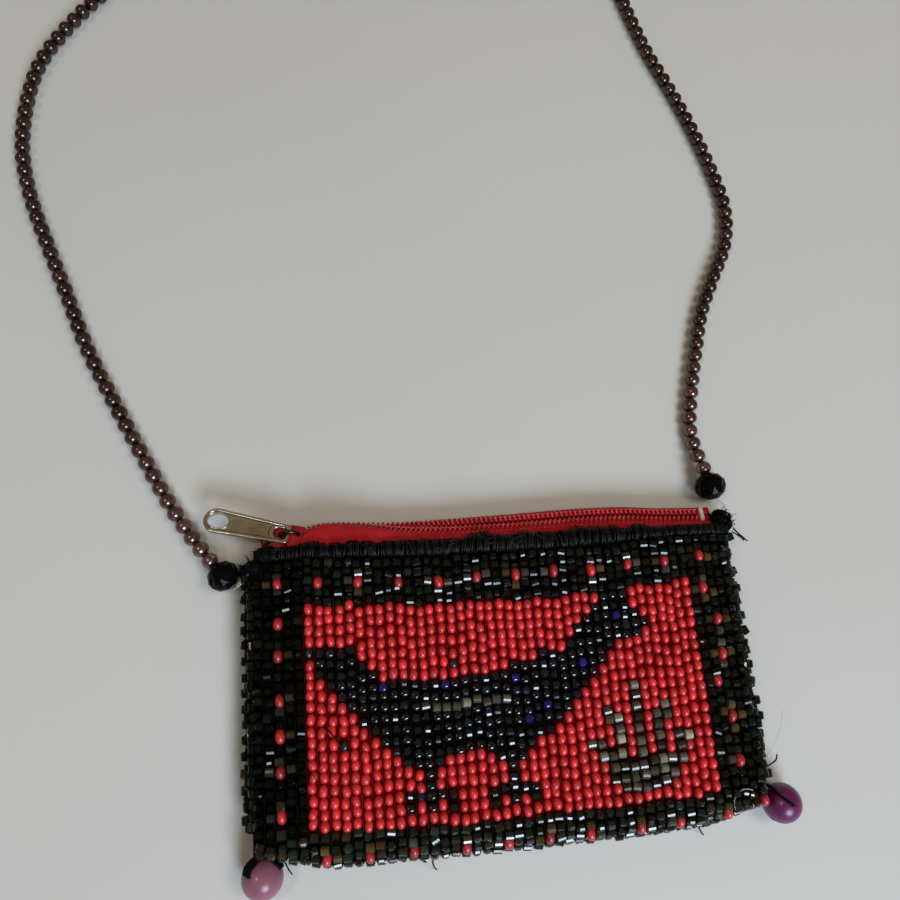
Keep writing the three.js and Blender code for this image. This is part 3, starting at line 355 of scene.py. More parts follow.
# Materials
class Look:
    """A node material with a few short ways to add texture to its shader."""

    def __init__(self, name):
        self.material = bpy.data.materials.new(name)
        self.material.use_nodes = True
        self.tree = self.material.node_tree
        self.shader = self.tree.nodes["Principled BSDF"]
        self.place = self.node("ShaderNodeTexCoord", "Object")

    def feed(self, node, inputs):
        """Gives a node's inputs their values, or links them to other nodes' outputs."""
        for key, value in inputs.items():
            if isinstance(value, bpy.types.NodeSocket):
                self.tree.links.new(value, node.inputs[key])
            else:
                node.inputs[key].default_value = value

    def node(self, kind, output, inputs=None, **values):
        made = with_values(self.tree.nodes.new(kind), **values)
        self.feed(made, inputs or {})
        return made.outputs[output]

    def set(self, **values):
        titles = [key.replace("_", " ").title().replace("Ior", "IOR") for key in values]
        self.feed(self.shader, dict(zip(titles, values.values())))

    def noise(self, scale, detail, stretch=(1, 1, 1)):
        place = self.node("ShaderNodeMapping", "Vector", {"Scale": stretch, "Vector": self.place})
        return self.node("ShaderNodeTexNoise", "Fac", {"Scale": scale, "Detail": detail, "Vector": place})

    def wave(self, scale, direction, distortion=0.0):
        inputs = {"Scale": scale, "Distortion": distortion, "Vector": self.place}
        return self.node("ShaderNodeTexWave", "Fac", inputs, wave_type="BANDS", bands_direction=direction)

    def ramp(self, factor, dark, light, low=0.3, high=0.7):
        colour = self.node("ShaderNodeValToRGB", "Color", {"Fac": factor})
        elements = colour.node.color_ramp.elements
        for element, place, tone in zip(elements, (low, high), (dark, light)):
            with_values(element, position=place, color=(*tone, 1))
        return colour

    def tones(self, scale, detail, *ends):
        return self.ramp(self.noise(scale, detail), *ends)

    def spread(self, factor, low, high):
        return self.node("ShaderNodeMapRange", "Result", {"To Min": low, "To Max": high, "Value": factor})

    def times(self, first, second, share=1.0):
        inputs = {0: share, 6: first, 7: second}
        return self.node("ShaderNodeMix", 2, inputs, data_type="RGBA", blend_type="MULTIPLY")

    def tint(self):
        return self.node("ShaderNodeAttribute", "Color", attribute_name="tint")

    def colour(self, socket):
        self.set(base_color=socket)

    def rough(self, factor, low, high):
        self.set(roughness=self.spread(factor, low, high))

    def grain(self, scale, detail, low, high):
        self.rough(self.noise(scale, detail), low, high)

    def bump(self, factor, depth, strength):
        inputs = {"Distance": depth * MM, "Strength": strength, "Height": factor}
        self.set(normal=self.node("ShaderNodeBump", "Normal", inputs))


def tinted_look(name, cloud, low, high, grain, **values):
    """Each point's own tint, made lighter and darker by a noise, with an uneven polish."""
    look = Look(name)
    shade = look.spread(look.noise(*cloud), low, high)
    grey = look.node("ShaderNodeCombineColor", "Color", {"Red": shade, "Green": shade, "Blue": shade})
    look.colour(look.times(look.tint(), grey))
    look.grain(*grain)
    look.set(**values)
    return look.material


def bead_glass(name, low, high, ior):
    return tinted_look(name, (900, 2), 0.72, 1.28, (500, 1, low, high), ior=ior)


def mottled_look(name, tones, grain, own_tint=False, **values):
    """Clouds of two tones, over each point's own tint if it has one, with an uneven polish."""
    look = Look(name)
    clouds = look.tones(*tones)
    look.colour(look.times(look.tint(), clouds) if own_tint else clouds)
    look.grain(*grain)
    look.set(**values)
    return look.material


def thread_look(name, dark, light, shine, along, specular):
    """Spun thread: fine streaks along its run and a dull shine."""
    look = Look(name)
    streaks = look.noise(1400, 3, along)
    look.colour(look.ramp(streaks, dark, light, 0.3, 0.75))
    look.grain(800, 2, shine, shine + 0.2)
    look.set(specular_ior_level=specular)
    look.bump(streaks, 0.12, 0.6)
    return look.material


def cloth_look(name, tones, threads, share, grain, depth, **values):
    """Woven cloth: warp and weft darken its tones by a share and stand out by a depth."""
    look = Look(name)
    warp, weft = (look.ramp(look.wave(*wave), (dark,) * 3, (1,) * 3, 0, 1) for dark, *wave in threads)
    weave = look.times(warp, weft)
    look.colour(look.times(look.tones(*tones), weave, share))
    look.grain(*grain)
    look.set(**values)
    look.bump(weave, depth, 0.5)
    return look.material


def nickel_look(name, dark, light):
    """Worn nickel: stains of two tones, and scratches along the piece. Given dark tones, it paints shade."""
    look = Look(name)
    look.set(metallic=1.0)
    look.colour(look.tones(260, 5, dark, light, 0.28, 0.62))
    scratch = look.noise(900, 4, (1, 9, 9))
    look.rough(scratch, 0.14, 0.30)
    look.bump(scratch, 0.015, 0.2)
    return look.material


def corner_bead_look(name, deep, pale, through):
    """A cast bead: clouds of a paler tone under a smooth coat."""
    return mottled_look(name, (110, 3, deep, pale, 0.32, 0.7), (300, 2, 0.30, 0.42), coat_weight=0.15,
                        coat_roughness=0.12, subsurface_weight=through, subsurface_scale=0.002)


RED_GLASS = bead_glass("red_glass", 0.33, 0.45, 1.75)
BIRD_GLASS = bead_glass("blue_black_glass", 0.06, 0.14, 1.60)
CUT_GLASS = bead_glass("black_cut_glass", 0.07, 0.20, 1.46)
# A less reflective copy of the cut glass: painted shade for the left side, which falls away from the light
SHADED_CUT_GLASS = bead_glass("cut_glass_painted_shade", 0.06, 0.16, 1.30)
FOLD_CUT_GLASS = bead_glass("fold_cut_glass", 0.08, 0.22, 1.62)
GREY_GLASS = bead_glass("grey_glass", 0.12, 0.26, 1.6)
GOLD_GLASS = bead_glass("gold_glass", 0.08, 0.18, 1.72)
GROUND_CLOTH = tinted_look("ground_cloth", (1200, 3, (4, 1, 1)), 0.6, 1.4, (600, 2, 0.75, 0.95),
                           specular_ior_level=0.08)
BLACK_THREAD = thread_look("black_thread", (0.0008, 0.001, 0.001), (0.003, 0.0034, 0.0034),
                           shine=0.32, along=(6, 1, 1), specular=0.26)
GROUND_THREAD = thread_look("ground_thread", (0.001,) * 3, (0.003,) * 3,
                            shine=0.7, along=(4, 1, 1), specular=0.08)
KNOT_THREAD = thread_look("knot_thread", (0.0006, 0.0008, 0.0008), (0.002, 0.0023, 0.0023),
                          shine=0.42, along=(3, 3, 3), specular=0.12)
LINT_THREAD = thread_look("lint_thread", (0.02, 0.02, 0.021), (0.09, 0.09, 0.092),
                          shine=0.6, along=(3, 3, 3), specular=0.3)
CRIMSON_TAPE = cloth_look("crimson_tape", (160, 4, (0.34, 0.010, 0.016), (0.46, 0.016, 0.024)),
                          threads=((0.45, 1250, "X"), (0.6, 900, "Y", 0.6)), share=0.3,
                          grain=(700, 2, 0.5, 0.7), depth=0.12, specular_ior_level=0.18)
LINING_CLOTH = cloth_look("lining_cloth", (120, 3, (0.009, 0.008, 0.009), (0.017, 0.016, 0.017)),
                          threads=((0.5, 1500, "X"), (0.5, 1500, "Y")), share=0.6,
                          grain=(500, 2, 0.75, 0.95), depth=0.1)
CRIMSON_COIL = mottled_look("crimson_coil", (420, 3, (0.48, 0.021, 0.026), (0.66, 0.048, 0.056), 0.3, 0.72),
                            (600, 2, 0.28, 0.45), ior=1.55)
ZIP_STITCH = mottled_look("zip_stitch", (500, 3, (0.42, 0.07, 0.08), (0.62, 0.22, 0.22), 0.35, 0.7),
                          (700, 2, 0.45, 0.65))
CRIMSON_ENAMEL = mottled_look("crimson_enamel", (240, 4, (0.22, 0.006, 0.011), (0.33, 0.011, 0.017)),
                              (500, 3, 0.36, 0.52), specular_ior_level=0.35)
WHITE_STOP = mottled_look("white_stop", (500, 3, (0.36, 0.27, 0.24), (0.62, 0.52, 0.47)),
                          (600, 2, 0.35, 0.55))
NICKEL = nickel_look("nickel", (0.50, 0.455, 0.385), (0.74, 0.71, 0.65))
# Nickel darkened as painted shade: on the slider's crown, which sits in shadow, and in dark lines round the
# pull
SHADED_NICKEL = nickel_look("nickel_painted_shade", (0.030, 0.022, 0.014), (0.075, 0.060, 0.042))
BRONZE_PEARL = mottled_look("bronze_pearl", (330, 3, (0.145, 0.080, 0.077), (0.28, 0.172, 0.165), 0.3, 0.72),
                            (900, 2, 0.19, 0.27), own_tint=True, metallic=0.85, coat_weight=0.6,
                            coat_roughness=0.09, specular_tint=(0.30, 0.20, 0.20, 1))
BLACK_CRYSTAL = mottled_look("black_crystal", (200, 2, (0.0012, 0.0012, 0.0015), (0.003, 0.003, 0.004)),
                             (500, 2, 0.06, 0.14), ior=1.15)
CLEAR_NYLON = mottled_look("clear_nylon", (300, 2, (0.72, 0.73, 0.72), (0.9, 0.9, 0.9)),
                           (700, 2, 0.08, 0.2), transmission_weight=0.75, ior=1.5)
MAUVE = corner_bead_look("mauve_glass", (0.19, 0.060, 0.115), (0.27, 0.115, 0.165), 0.35)
PURPLE = corner_bead_look("purple_glass", (0.085, 0.005, 0.063), (0.14, 0.012, 0.105), 0.25)
PALE_FLOOR = mottled_look("pale_floor", (2.2, 3, (0.51, 0.515, 0.51), (0.55, 0.555, 0.55)),
                          (60, 3, 0.55, 0.7))

# Tints of the beads
RED_TINT = (0.56, 0.016, 0.022)
DEEP_RED_TINT = (0.45, 0.012, 0.018)
DOT_TINT = (0.34, 0.009, 0.014)
BLACK_TINT = (0.0015, 0.002, 0.002)
GREEN_BLACK_TINT = (0.002, 0.005, 0.0035)
GREEN_TINT = (0.0035, 0.011, 0.007)
BROWN_TINT = (0.020, 0.013, 0.006)
BIRD_TINT = (0.0015, 0.002, 0.004)
BLUE_TINT = (0.003, 0.006, 0.016)
VIOLET_TINT = (0.010, 0.006, 0.085)
GREY_TINT = (0.062, 0.057, 0.040)
PALE_GREY_TINT = (0.17, 0.16, 0.125)
GOLD_TINT = (0.034, 0.023, 0.008)
CLEAR_TINT = (0.024, 0.023, 0.020)

# Pearls: how many are paler at each end of the strap, and the tint of the others
PALE_PEARLS = 12
DARK_PEARL = 0.34


# The woven surface: front panel, fold and back as one strip of columns and rows
def bow_at(x, r):
    rise = np.clip((np.abs(x) - LEVEL_HALF) / (HALF_FIELD - LEVEL_HALF), 0, 1)
    above = FIELD_BOW - (TOP_BOW - FIELD_BOW) * r / BORDER_BEADS
    below = FIELD_BOW + (BOTTOM_BOW - FIELD_BOW) * r / FIELD_ROWS
    return np.where(np.asarray(r) < 0, above, below) * rise


def face_z(x):
    return FRONT_FACE - SIDE_DROP * np.maximum(np.abs(x) - HALF_FIELD, 0) / (HALF_WIDTH - HALF_FIELD)


def weave_point(c, r, depth):
    """A place on the weave by column and row, at a depth under its face."""
    c, r = np.broadcast_arrays(np.asarray(c, float), np.asarray(r, float))
    x = (c - COLUMNS / 2) * COLUMN_PITCH
    top = face_z(x)
    level = FIELD_TOP - r * np.where(r < 0, BORDER_PITCH, ROW_PITCH) + bow_at(x, r)
    front = np.stack([x, level, top - depth], -1)
    k = np.clip(r - FIELD_ROWS, 0, FOLD_END)
    radius = top / 2
    turn = np.maximum(k - 1, 0) / FOLD_ROWS * math.pi
    bow = bow_at(x, np.full_like(x, FIELD_ROWS)) * (1 - k / FOLD_END)
    share = np.maximum(np.abs(x) - CORNER_HALF, 0) / (HALF_WIDTH - CORNER_HALF)
    bulge = np.sin(turn)
    reach = bulge * (radius - depth) - bulge * bulge * FOLD_CORNER_CUT * share
    under = -FIELD_TOP - np.minimum(k, 1) * ROW_PITCH + bow - reach
    under = under + np.maximum(r - BACK_ROW, 0) * BACK_PITCH
    fold = np.stack([x, under, radius + (radius - depth) * np.cos(turn)], -1)
    return np.where((r <= FIELD_ROWS)[..., None], front, fold)


def weave_frames(c, r):
    """Frames on the weave's face: across the columns, along a column and outward."""
    step = 0.05
    across = weave_point(c + step, r, 0.0) - weave_point(c - step, r, 0.0)
    along = weave_point(c, r + step, 0.0) - weave_point(c, r - step, 0.0)
    outward = unit(np.cross(along, across))
    across = unit(across)
    return np.stack([across, np.cross(outward, across), outward], -1)


def turned(frames, axis, angles):
    """Frames turned about one of their own axes."""
    first, second = [(1, 2), (2, 0), (0, 1)][axis]
    cos, sin = np.cos(angles)[:, None], np.sin(angles)[:, None]
    result = frames.copy()
    result[:, :, first] = frames[:, :, first] * cos + frames[:, :, second] * sin
    result[:, :, second] = frames[:, :, second] * cos - frames[:, :, first] * sin
    return result


# Motifs: which bead of the field belongs to what
def inside_outline(px, py):
    inside = False
    for k, (ax, ay) in enumerate(BIRD_OUTLINE):
        bx, by = BIRD_OUTLINE[k - 1]
        if (ay > py) != (by > py) and px < (bx - ax) * (py - ay) / (by - ay) + ax:
            inside = not inside
    return inside


def is_leg_or_foot(i, j):
    for leg in LEG_COLUMNS:
        reach = abs(i - leg)
        shank = reach == 0 and LEG_TOP_ROW <= j < FOOT_ROW
        foot = j == FOOT_ROW and reach <= FOOT_REACH
        toe = j == FOOT_ROW + 1 and reach <= FOOT_REACH and reach % 2 == 0
        if shank or foot or toe:
            return True
    return False


def is_sprig(i, j):
    for (base_i, base_j), (tip_i, tip_j) in SPRIG_BLADES:
        if tip_j <= j <= base_j:
            rows = (j, min(j + 1, base_j))
            lean = [math.floor(base_i + (tip_i - base_i) * (base_j - row) / (base_j - tip_j) + 0.5)
                    for row in rows]
            if min(lean) <= i <= max(lean):
                return True
    return False


def motif_at(i, j):
    if j == WING_ROW and WING_FIRST <= i <= WING_LAST:
        return "wing"
    if inside_outline(i + 0.5, j + 0.5) or is_leg_or_foot(i, j):
        return "bird"
    return "sprig" if is_sprig(i, j) else "red"


MOTIFS = {(i + BORDER_BEADS, j): motif_at(i, j) for j in range(FIELD_ROWS) for i in range(FIELD_COLUMNS)}


def cells_of(name):
    return [cell for cell, motif in MOTIFS.items() if motif == name]


# Each column of the weave sits a little higher or lower than its neighbours, and its rows wander
wander_draw = np.random.default_rng(11)
COLUMN_SHIFT = wander_draw.normal(0, 0.13, COLUMNS)
ROW_WANDER = wander_draw.normal(0, 1, (COLUMNS + 2, 70))
ROW_WANDER = (ROW_WANDER[:-2] + ROW_WANDER[1:-1] + ROW_WANDER[2:]) / 3
ROW_WANDER = (ROW_WANDER[:, :-2] + ROW_WANDER[:, 1:-1] + ROW_WANDER[:, 2:]) / 3

# How far a bead strays from its cell: in cells, millimetres and radians, and as a share of its size
STRAY_ACROSS = 0.035
STRAY_ALONG = 0.045
STRAY_DEEP = 0.11
STRAY_YAW = 0.12
STRAY_TILT = 0.05
STRAY_SIZE = 0.035
EDGE_ROOM = 0.35
BACK_DEPTH = 1.2


def bead_solid(cells, template, seed, depth, spin=True, sizes=(1, 1, 1), loose=1.0):
    """Beads of the weave at the given cells, each a little out of line."""
    draw = np.random.default_rng(seed)
    cells = np.array(cells, float)
    count = len(cells)
    column = cells[:, 0].astype(int)
    row = cells[:, 1].astype(int) + BORDER_BEADS
    shift = COLUMN_SHIFT[column] + 0.45 * ROW_WANDER[column, row]
    c = cells[:, 0] + 0.5 + loose * draw.normal(0, STRAY_ACROSS, count)
    r = cells[:, 1] + 0.5 + 0.85 * shift + loose * draw.normal(0, STRAY_ALONG, count)
    r = np.clip(r, EDGE_ROOM - BORDER_BEADS, LAST_ROW - EDGE_ROOM)
    deep = depth + loose * draw.normal(0, STRAY_DEEP, count)
    deep = np.where(cells[:, 1] >= BACK_ROW - 2, np.maximum(deep, BACK_DEPTH), deep)
    frames = weave_frames(c, r)
    centres = weave_point(c, r, 0.0) - frames[:, :, 2] * deep[:, None]
    if spin:
        frames = turned(frames, 0, draw.uniform(0, 2 * math.pi, count))
    frames = turned(frames, 2, loose * draw.normal(0, STRAY_YAW, count))
    frames = turned(frames, 1, loose * draw.normal(0, STRAY_TILT, count))
    scale = np.array(sizes) * (1 + draw.normal(0, STRAY_SIZE, (count, 3)))
    points, faces = copies(template, centres, frames, scale)
    points[:, 2] = np.maximum(points[:, 2], 0.0)
    return points, faces


def tinted(template, colours):
    return np.repeat(np.asarray(colours, float), len(template[0]), axis=0)


def mixed_tints(seed, count, base, spread, others=()):
    """A tint for each bead: the base, or one of the others at its share, a little lighter or darker."""
    draw = np.random.default_rng(seed)
    colours = np.tile(np.array(base, float), (count, 1))
    chance = draw.uniform(0, 1, count)
    start = 0.0
    for share, tint in others:
        colours[(chance >= start) & (chance < start + share)] = tint
        start += share
    return colours * np.exp(draw.normal(0, spread, (count, 1)))


def dark_tints(seed, count, green):
    others = ((0.30, GREEN_BLACK_TINT), (green, GREEN_TINT), (green / 3, BROWN_TINT))
    return mixed_tints(seed, count, BLACK_TINT, 0.3, others)


def shuffled(cells, seed):
    return [cells[k] for k in np.random.default_rng(seed).permutation(len(cells))]


def two_kinds(cells, tints, share, *kinds):
    """Beads of two kinds, the first at its share of the cells, and a tint for each of their points."""
    part = int(share * len(cells))
    solids, shades = [], []
    for kind, run in zip(kinds, (slice(part), slice(part, None))):
        solids.append(bead_solid(cells[run], **kind))
        shades.append(tinted(kind["template"], tints[run]))
    return solids, np.vstack(shades)


ROUND_BEAD = bead([(-0.99, 0), (-0.96, 0.55), (-0.80, 1.02), (-0.45, 1.32), (0, 1.42)], 14)
BIRD_BEAD = bead([(-1.06, 0), (-1.04, 0.60), (-0.92, 0.94), (-0.70, 1.10), (-0.35, 1.17), (0, 1.19)], 14)
FACET_BEAD = bead([(-1.06, 0), (-1.02, 0.64), (-0.55, 1.15)], 13)
CUT_BEAD = bead([(-1.10, 0), (-1.08, 0.62), (-0.88, 1.12)], 13)


def red_field():
    cells = cells_of("red")
    solid = bead_solid(cells, ROUND_BEAD, seed=21, depth=1.22, spin=False, loose=1.2)
    tints = mixed_tints(22, len(cells), RED_TINT, 0.10, ((0.08, DEEP_RED_TINT), (0.006, BLACK_TINT)))
    add_piece("red_beads", "red_field_beads", solid, RED_GLASS, tints=tinted(ROUND_BEAD, tints))


def motif_pieces():
    bird = cells_of("bird")
    tints = mixed_tints(32, len(bird), BIRD_TINT, 0.25, ((0.03, VIOLET_TINT), (0.10, BLUE_TINT)))
    solids, shades = two_kinds(shuffled(bird, 33), tints, 0.55,
                               dict(template=BIRD_BEAD, seed=31, depth=1.24, spin=False),
                               dict(template=FACET_BEAD, seed=34, depth=1.24))
    smooth = np.repeat([True, False], [len(faces) for _, faces in solids])
    add_piece("bird_glass", "bird_beads", joined(solids), BIRD_GLASS, smooth=smooth, tints=shades)
    for name, motif, node, seed, light in (("wing_glass", "wing", "wing_stripe_beads", 41, 0.7),
                                           ("sprig_glass", "sprig", "sprig_beads", 43, 0.9)):
        cells = cells_of(motif)
        others = ((0.2, PALE_GREY_TINT), (0.15, BROWN_TINT))
        tints = mixed_tints(seed + 1, len(cells), GREY_TINT, 0.35, others) * light
        add_piece(name, node, bead_solid(cells, CUT_BEAD, seed, depth=1.2), GREY_GLASS, smooth=False,
                  tints=tinted(CUT_BEAD, tints))


# Shares of the cells round a dot that have a petal, and of the petals that are gold
PETAL_SHARE = 0.42
GOLD_SHARE = 0.55


def border_pieces():
    dots = set(DOTS)
    ring = {}
    draw = np.random.default_rng(51)
    for c, r in DOTS:
        for step_c, step_r in ((1, 0), (-1, 0), (0, 1), (0, -1)):
            cell = (c + step_c, r + step_r)
            if 0 <= cell[0] < COLUMNS and draw.uniform() < PETAL_SHARE:
                ring[cell] = GOLD_TINT if draw.uniform() < GOLD_SHARE else CLEAR_TINT
    inner = range(BORDER_BEADS, COLUMNS - BORDER_BEADS)
    right = range(COLUMNS - BORDER_BEADS, COLUMNS)
    above = range(-BORDER_BEADS, 0)
    front = range(-BORDER_BEADS, FIELD_ROWS)
    fold = range(FIELD_ROWS, BACK_ROW)
    back = range(BACK_ROW, LAST_ROW)
    # In each block, green is the share of green beads and light darkens the tints: 0.8 gives a darker tone,
    # and the left border's 0.45 adds painted shade where that side falls away from the light
    blocks = (
        ("top_border_glass", "top_border_beads", inner, above, 0.05, 0.8, CUT_GLASS),
        ("left_border_glass", "left_border_beads", range(BORDER_BEADS), front, 0.02, 0.45, SHADED_CUT_GLASS),
        ("right_border_glass", "right_border_beads", right, front, 0.10, 0.8, CUT_GLASS),
        ("fold_glass", "bottom_fold_beads", range(COLUMNS), fold, 0.25, 1.0, FOLD_CUT_GLASS),
        ("back_glass", "back_panel_beads", range(COLUMNS), back, 0.06, 0.8, CUT_GLASS),
    )
    seed = 60
    for name, node, columns, rows, green, light, look in blocks:
        cells = [(c, r) for r in rows for c in columns
                 if (c, r) not in dots and (c, r) not in ring and c + r + BORDER_BEADS >= CUT_CORNER_BEADS]
        tints = dark_tints(seed, len(cells), green) * light
        solids, shades = two_kinds(shuffled(cells, seed + 40), tints, 0.45,
                                   dict(template=CUT_BEAD, seed=seed + 1, depth=1.2, loose=1.7),
                                   dict(template=FACET_BEAD, seed=seed + 21, depth=1.2, loose=1.5))
        add_piece(name, node, joined(solids), look, smooth=False, tints=shades)
        seed += 2
    middle = bead_solid(DOTS, ROUND_BEAD, seed=81, depth=1.15, spin=False, sizes=(1.10, 1.22, 1.18))
    tints = mixed_tints(82, len(DOTS), DOT_TINT, 0.18)
    add_piece("dot_middles", None, middle, RED_GLASS, tints=tinted(ROUND_BEAD, tints))
    petals = bead_solid(list(ring), CUT_BEAD, seed=83, depth=1.15)
    tints = np.array(list(ring.values())) * np.exp(draw.normal(0, 0.35, (len(ring), 1)))
    # Petals on the left border are darkened as painted shade, like that border's beads
    tints[[c < BORDER_BEADS for c, r in ring]] *= 0.45
    add_piece("dot_petals", None, petals, GOLD_GLASS, smooth=False, tints=tinted(CUT_BEAD, tints))


# Thread ground: depths of its two faces and of the warp threads, and its tint
GROUND_TOP = 2.05
GROUND_UNDER = 2.30
WARP_DEPTH = 1.1
WARP_RADIUS = 0.13
DARK_GROUND = 0.003


def ground_tint_with_painted_bounce(c, r):
    """The ground is dark, with painted red bounce light where the beads about a point are red."""
    near = [(c - 1, r - 1), (c, r - 1), (c - 1, r), (c, r)]
    share = sum(MOTIFS.get(cell) == "red" for cell in near) / 4
    # Painted red bounce light, strongest where all four beads about a point are red
    painted_red_bounce = share * share
    return DARK_GROUND + 0.17 * painted_red_bounce, 0.0035, DARK_GROUND + 0.002 * painted_red_bounce


def weave_ground():
    """The thread ground under the beads, and the warp threads between the columns."""
    columns = np.arange(COLUMNS + 1)
    rows = np.arange(-BORDER_BEADS, LAST_ROW + 1)
    sections = [np.vstack([weave_point(columns, row, GROUND_TOP),
                           weave_point(columns, row, GROUND_UNDER)[::-1]]) for row in rows]
    # The ground and the warp threads share these tints, with their painted red bounce light
    tints = np.array([[ground_tint_with_painted_bounce(c, r) for c in columns] for r in rows])
    caps = np.full((2, 3), DARK_GROUND)
    both = np.vstack([np.concatenate([tints, tints[:, ::-1]], axis=1).reshape(-1, 3), caps])
    add_piece("thread_ground", None, loft(sections), GROUND_CLOTH, tints=both)
    warps, warp_tints = [], []
    for k in columns:
        warps.append(tube(weave_point(k, rows, WARP_DEPTH), WARP_RADIUS, 4))
        warp_tints += [np.repeat(tints[:, k], 4, axis=0), caps]
    add_piece("warp_threads", None, joined(warps), GROUND_CLOTH, tints=np.vstack(warp_tints))


# Sides: beads sewn between front and back
EDGE_LEVELS = (1.5, 3.7, 5.9, 8.0)
EDGE_STEP = 2.35
PICOT_LEVEL = 5.6


def side_edging(name, node, side, low, high, picot, seed, loose):
    """Four rows of beads, and groups of three that stand out at each picot step."""
    draw = np.random.default_rng(seed)
    centres, sizes = [], []

    def sew(reach, y, z, stray, size):
        centres.append(np.array([side * (HALF_WIDTH + reach), y, z]) + loose * draw.normal(0, stray))
        sizes.append(size)

    for row, z in enumerate(EDGE_LEVELS):
        for y in np.arange(low + 1.0 + 0.6 * (row % 2), high - 0.6, EDGE_STEP):
            sew(0.75 - 0.35 * abs(row - 1.5), y, z, (0.15, 0.2, 0.15), (0.95, 0.88, 0.88))
    for y in np.arange(low + 2.0, high, picot):
        for reach, step, lift in ((1.9, 0.0, 0.0), (1.15, 1.05, 0.5), (1.15, -1.05, -0.4)):
            sew(reach, y + step, PICOT_LEVEL + lift, (0.2, 0.25, 0.5), (1.0, 0.95, 0.95))
    count = len(centres)
    upright = np.array([[0, 1, 0], [0, 0, 1], [1, 0, 0]], float).T
    frames = turned(np.tile(upright, (count, 1, 1)), 0, draw.uniform(0, 6.28, count))
    frames = turned(frames, 2, draw.normal(0, 0.2, count))
    solid = copies(CUT_BEAD, np.array(centres), frames, np.array(sizes))
    # The left picots take the cut glass copy that paints shade
    green, look = (0.05, SHADED_CUT_GLASS) if side < 0 else (0.30, CUT_GLASS)
    tints = dark_tints(seed + 1, count, green)
    add_piece(name, node, solid, look, smooth=False, tints=tinted(CUT_BEAD, tints))


# Whip stitches along a top edge: a padded roll and bundles of thread over it
def binding_edge(x):
    """The front band's edge at the zip, which slants down at the left end."""
    start, run, drop = 12.0, 8.0, 2.1
    slant = np.maximum(-HALF_WIDTH + start - x, 0) / run
    return TOP_EDGE + 0.2 - drop * slant


def front_arc(x, share, lift):
    """A place on the front band: share runs from the beads to the zip, lift stands off the roll."""
    low = BORDER_TOP - 0.1 + bow_at(x, np.full_like(x, -BORDER_BEADS))
    high = binding_edge(x)
    turn = math.pi * (0.06 + 0.94 * share)
    y = (low + high) / 2 - (high - low) / 2 * np.cos(turn)
    z = 7.75 + (face_z(x) - 8.45 + lift) * np.sin(turn) ** 0.7
    return np.stack([x, y, z], -1)


def back_arc(x, share, lift):
    """The same on the back, where the band is narrower."""
    turn = math.pi * (0.04 + 0.92 * share)
    y = BORDER_TOP + 2.2 - 2.0 * np.cos(turn)
    z = 2.2 - (1.25 + 0.3 * lift) * np.sin(turn) ** 0.7
    return np.stack([x, y, z], -1)


def lint_hairs(draw, arc, left, right, count):
    """Short pale hairs on the band, most of them about its middle."""
    hairs = []
    for _ in range(count):
        x = draw.normal(0, 9) if draw.uniform() < 0.7 else draw.uniform(left, right)
        share = draw.uniform(0.25, 0.95)
        start = arc(np.array(x), np.array(share), draw.uniform(0.35, 0.7))
        step = np.array([draw.normal(0, 0.8), draw.normal(0.2, 0.5), draw.uniform(0.0, 0.3)])
        bend = start + step * 0.6 + draw.normal(0, 0.2, 3)
        hairs.append(tube(curve_through([start, bend, start + step], 3), draw.uniform(0.04, 0.07), 4))
    return hairs


# Near the slider's far stop the stitches stay low
STOP_CLEARANCE = 6.0


def whipping(name, node, arc, left, right, pitch, seed, lint=0, tufts=()):
    draw = np.random.default_rng(seed)
    shares = np.linspace(0, 1, 11)
    sections = []
    for x in np.linspace(left, right, 80):
        top = arc(np.full(len(shares), x), shares, -0.15)
        sections.append(np.vstack([top, top[-1] * [1, 1, 0] + [0, 0, top[0][2]]]))
    add_piece(name + "_roll", None, loft(sections), GROUND_THREAD)
    strands = []
    steps = np.linspace(0, 1, 8)
    pinch = 1 - 0.5 * np.sin(math.pi * steps)
    for x in np.arange(left + 0.6, right - 0.6, pitch):
        x = x + draw.normal(0, 0.15)
        lean = draw.normal(0.3, 0.8)
        bundle = draw.integers(3, 6)
        height = draw.uniform(0.0, 1.0)
        reach = draw.normal(0.15, 0.45)
        reach += sum(far * math.exp(-((x - tuft) / 1.6) ** 2) for tuft, far in tufts)
        if x > SLIDER_END - STOP_CLEARANCE:
            reach = min(reach, 0.0) - 0.3
            height = min(height, 0.4)
        for k in range(bundle):
            across = (k / (bundle - 1) - 0.5) * pitch * 1.05
            path_x = x + across * pinch + lean * (steps - 0.5) + draw.normal(0, 0.12)
            lift = height * (1 - (across / pitch * 1.6) ** 2) + draw.normal(0, 0.08)
            path = arc(np.clip(path_x, left, right), steps, lift)
            path[:, 1] += (reach + draw.normal(0, 0.12)) * steps ** 2
            path[:, 2] = np.maximum(path[:, 2] + 0.5 * max(reach, 0) * steps ** 3, 0.4)
            strands.append(tube(path, draw.uniform(0.20, 0.36), 6))
    add_piece(name + "_thread", node, joined(strands), BLACK_THREAD)
    if lint:
        add_piece(name + "_lint", None, joined(lint_hairs(draw, arc, left, right, lint)), LINT_THREAD)


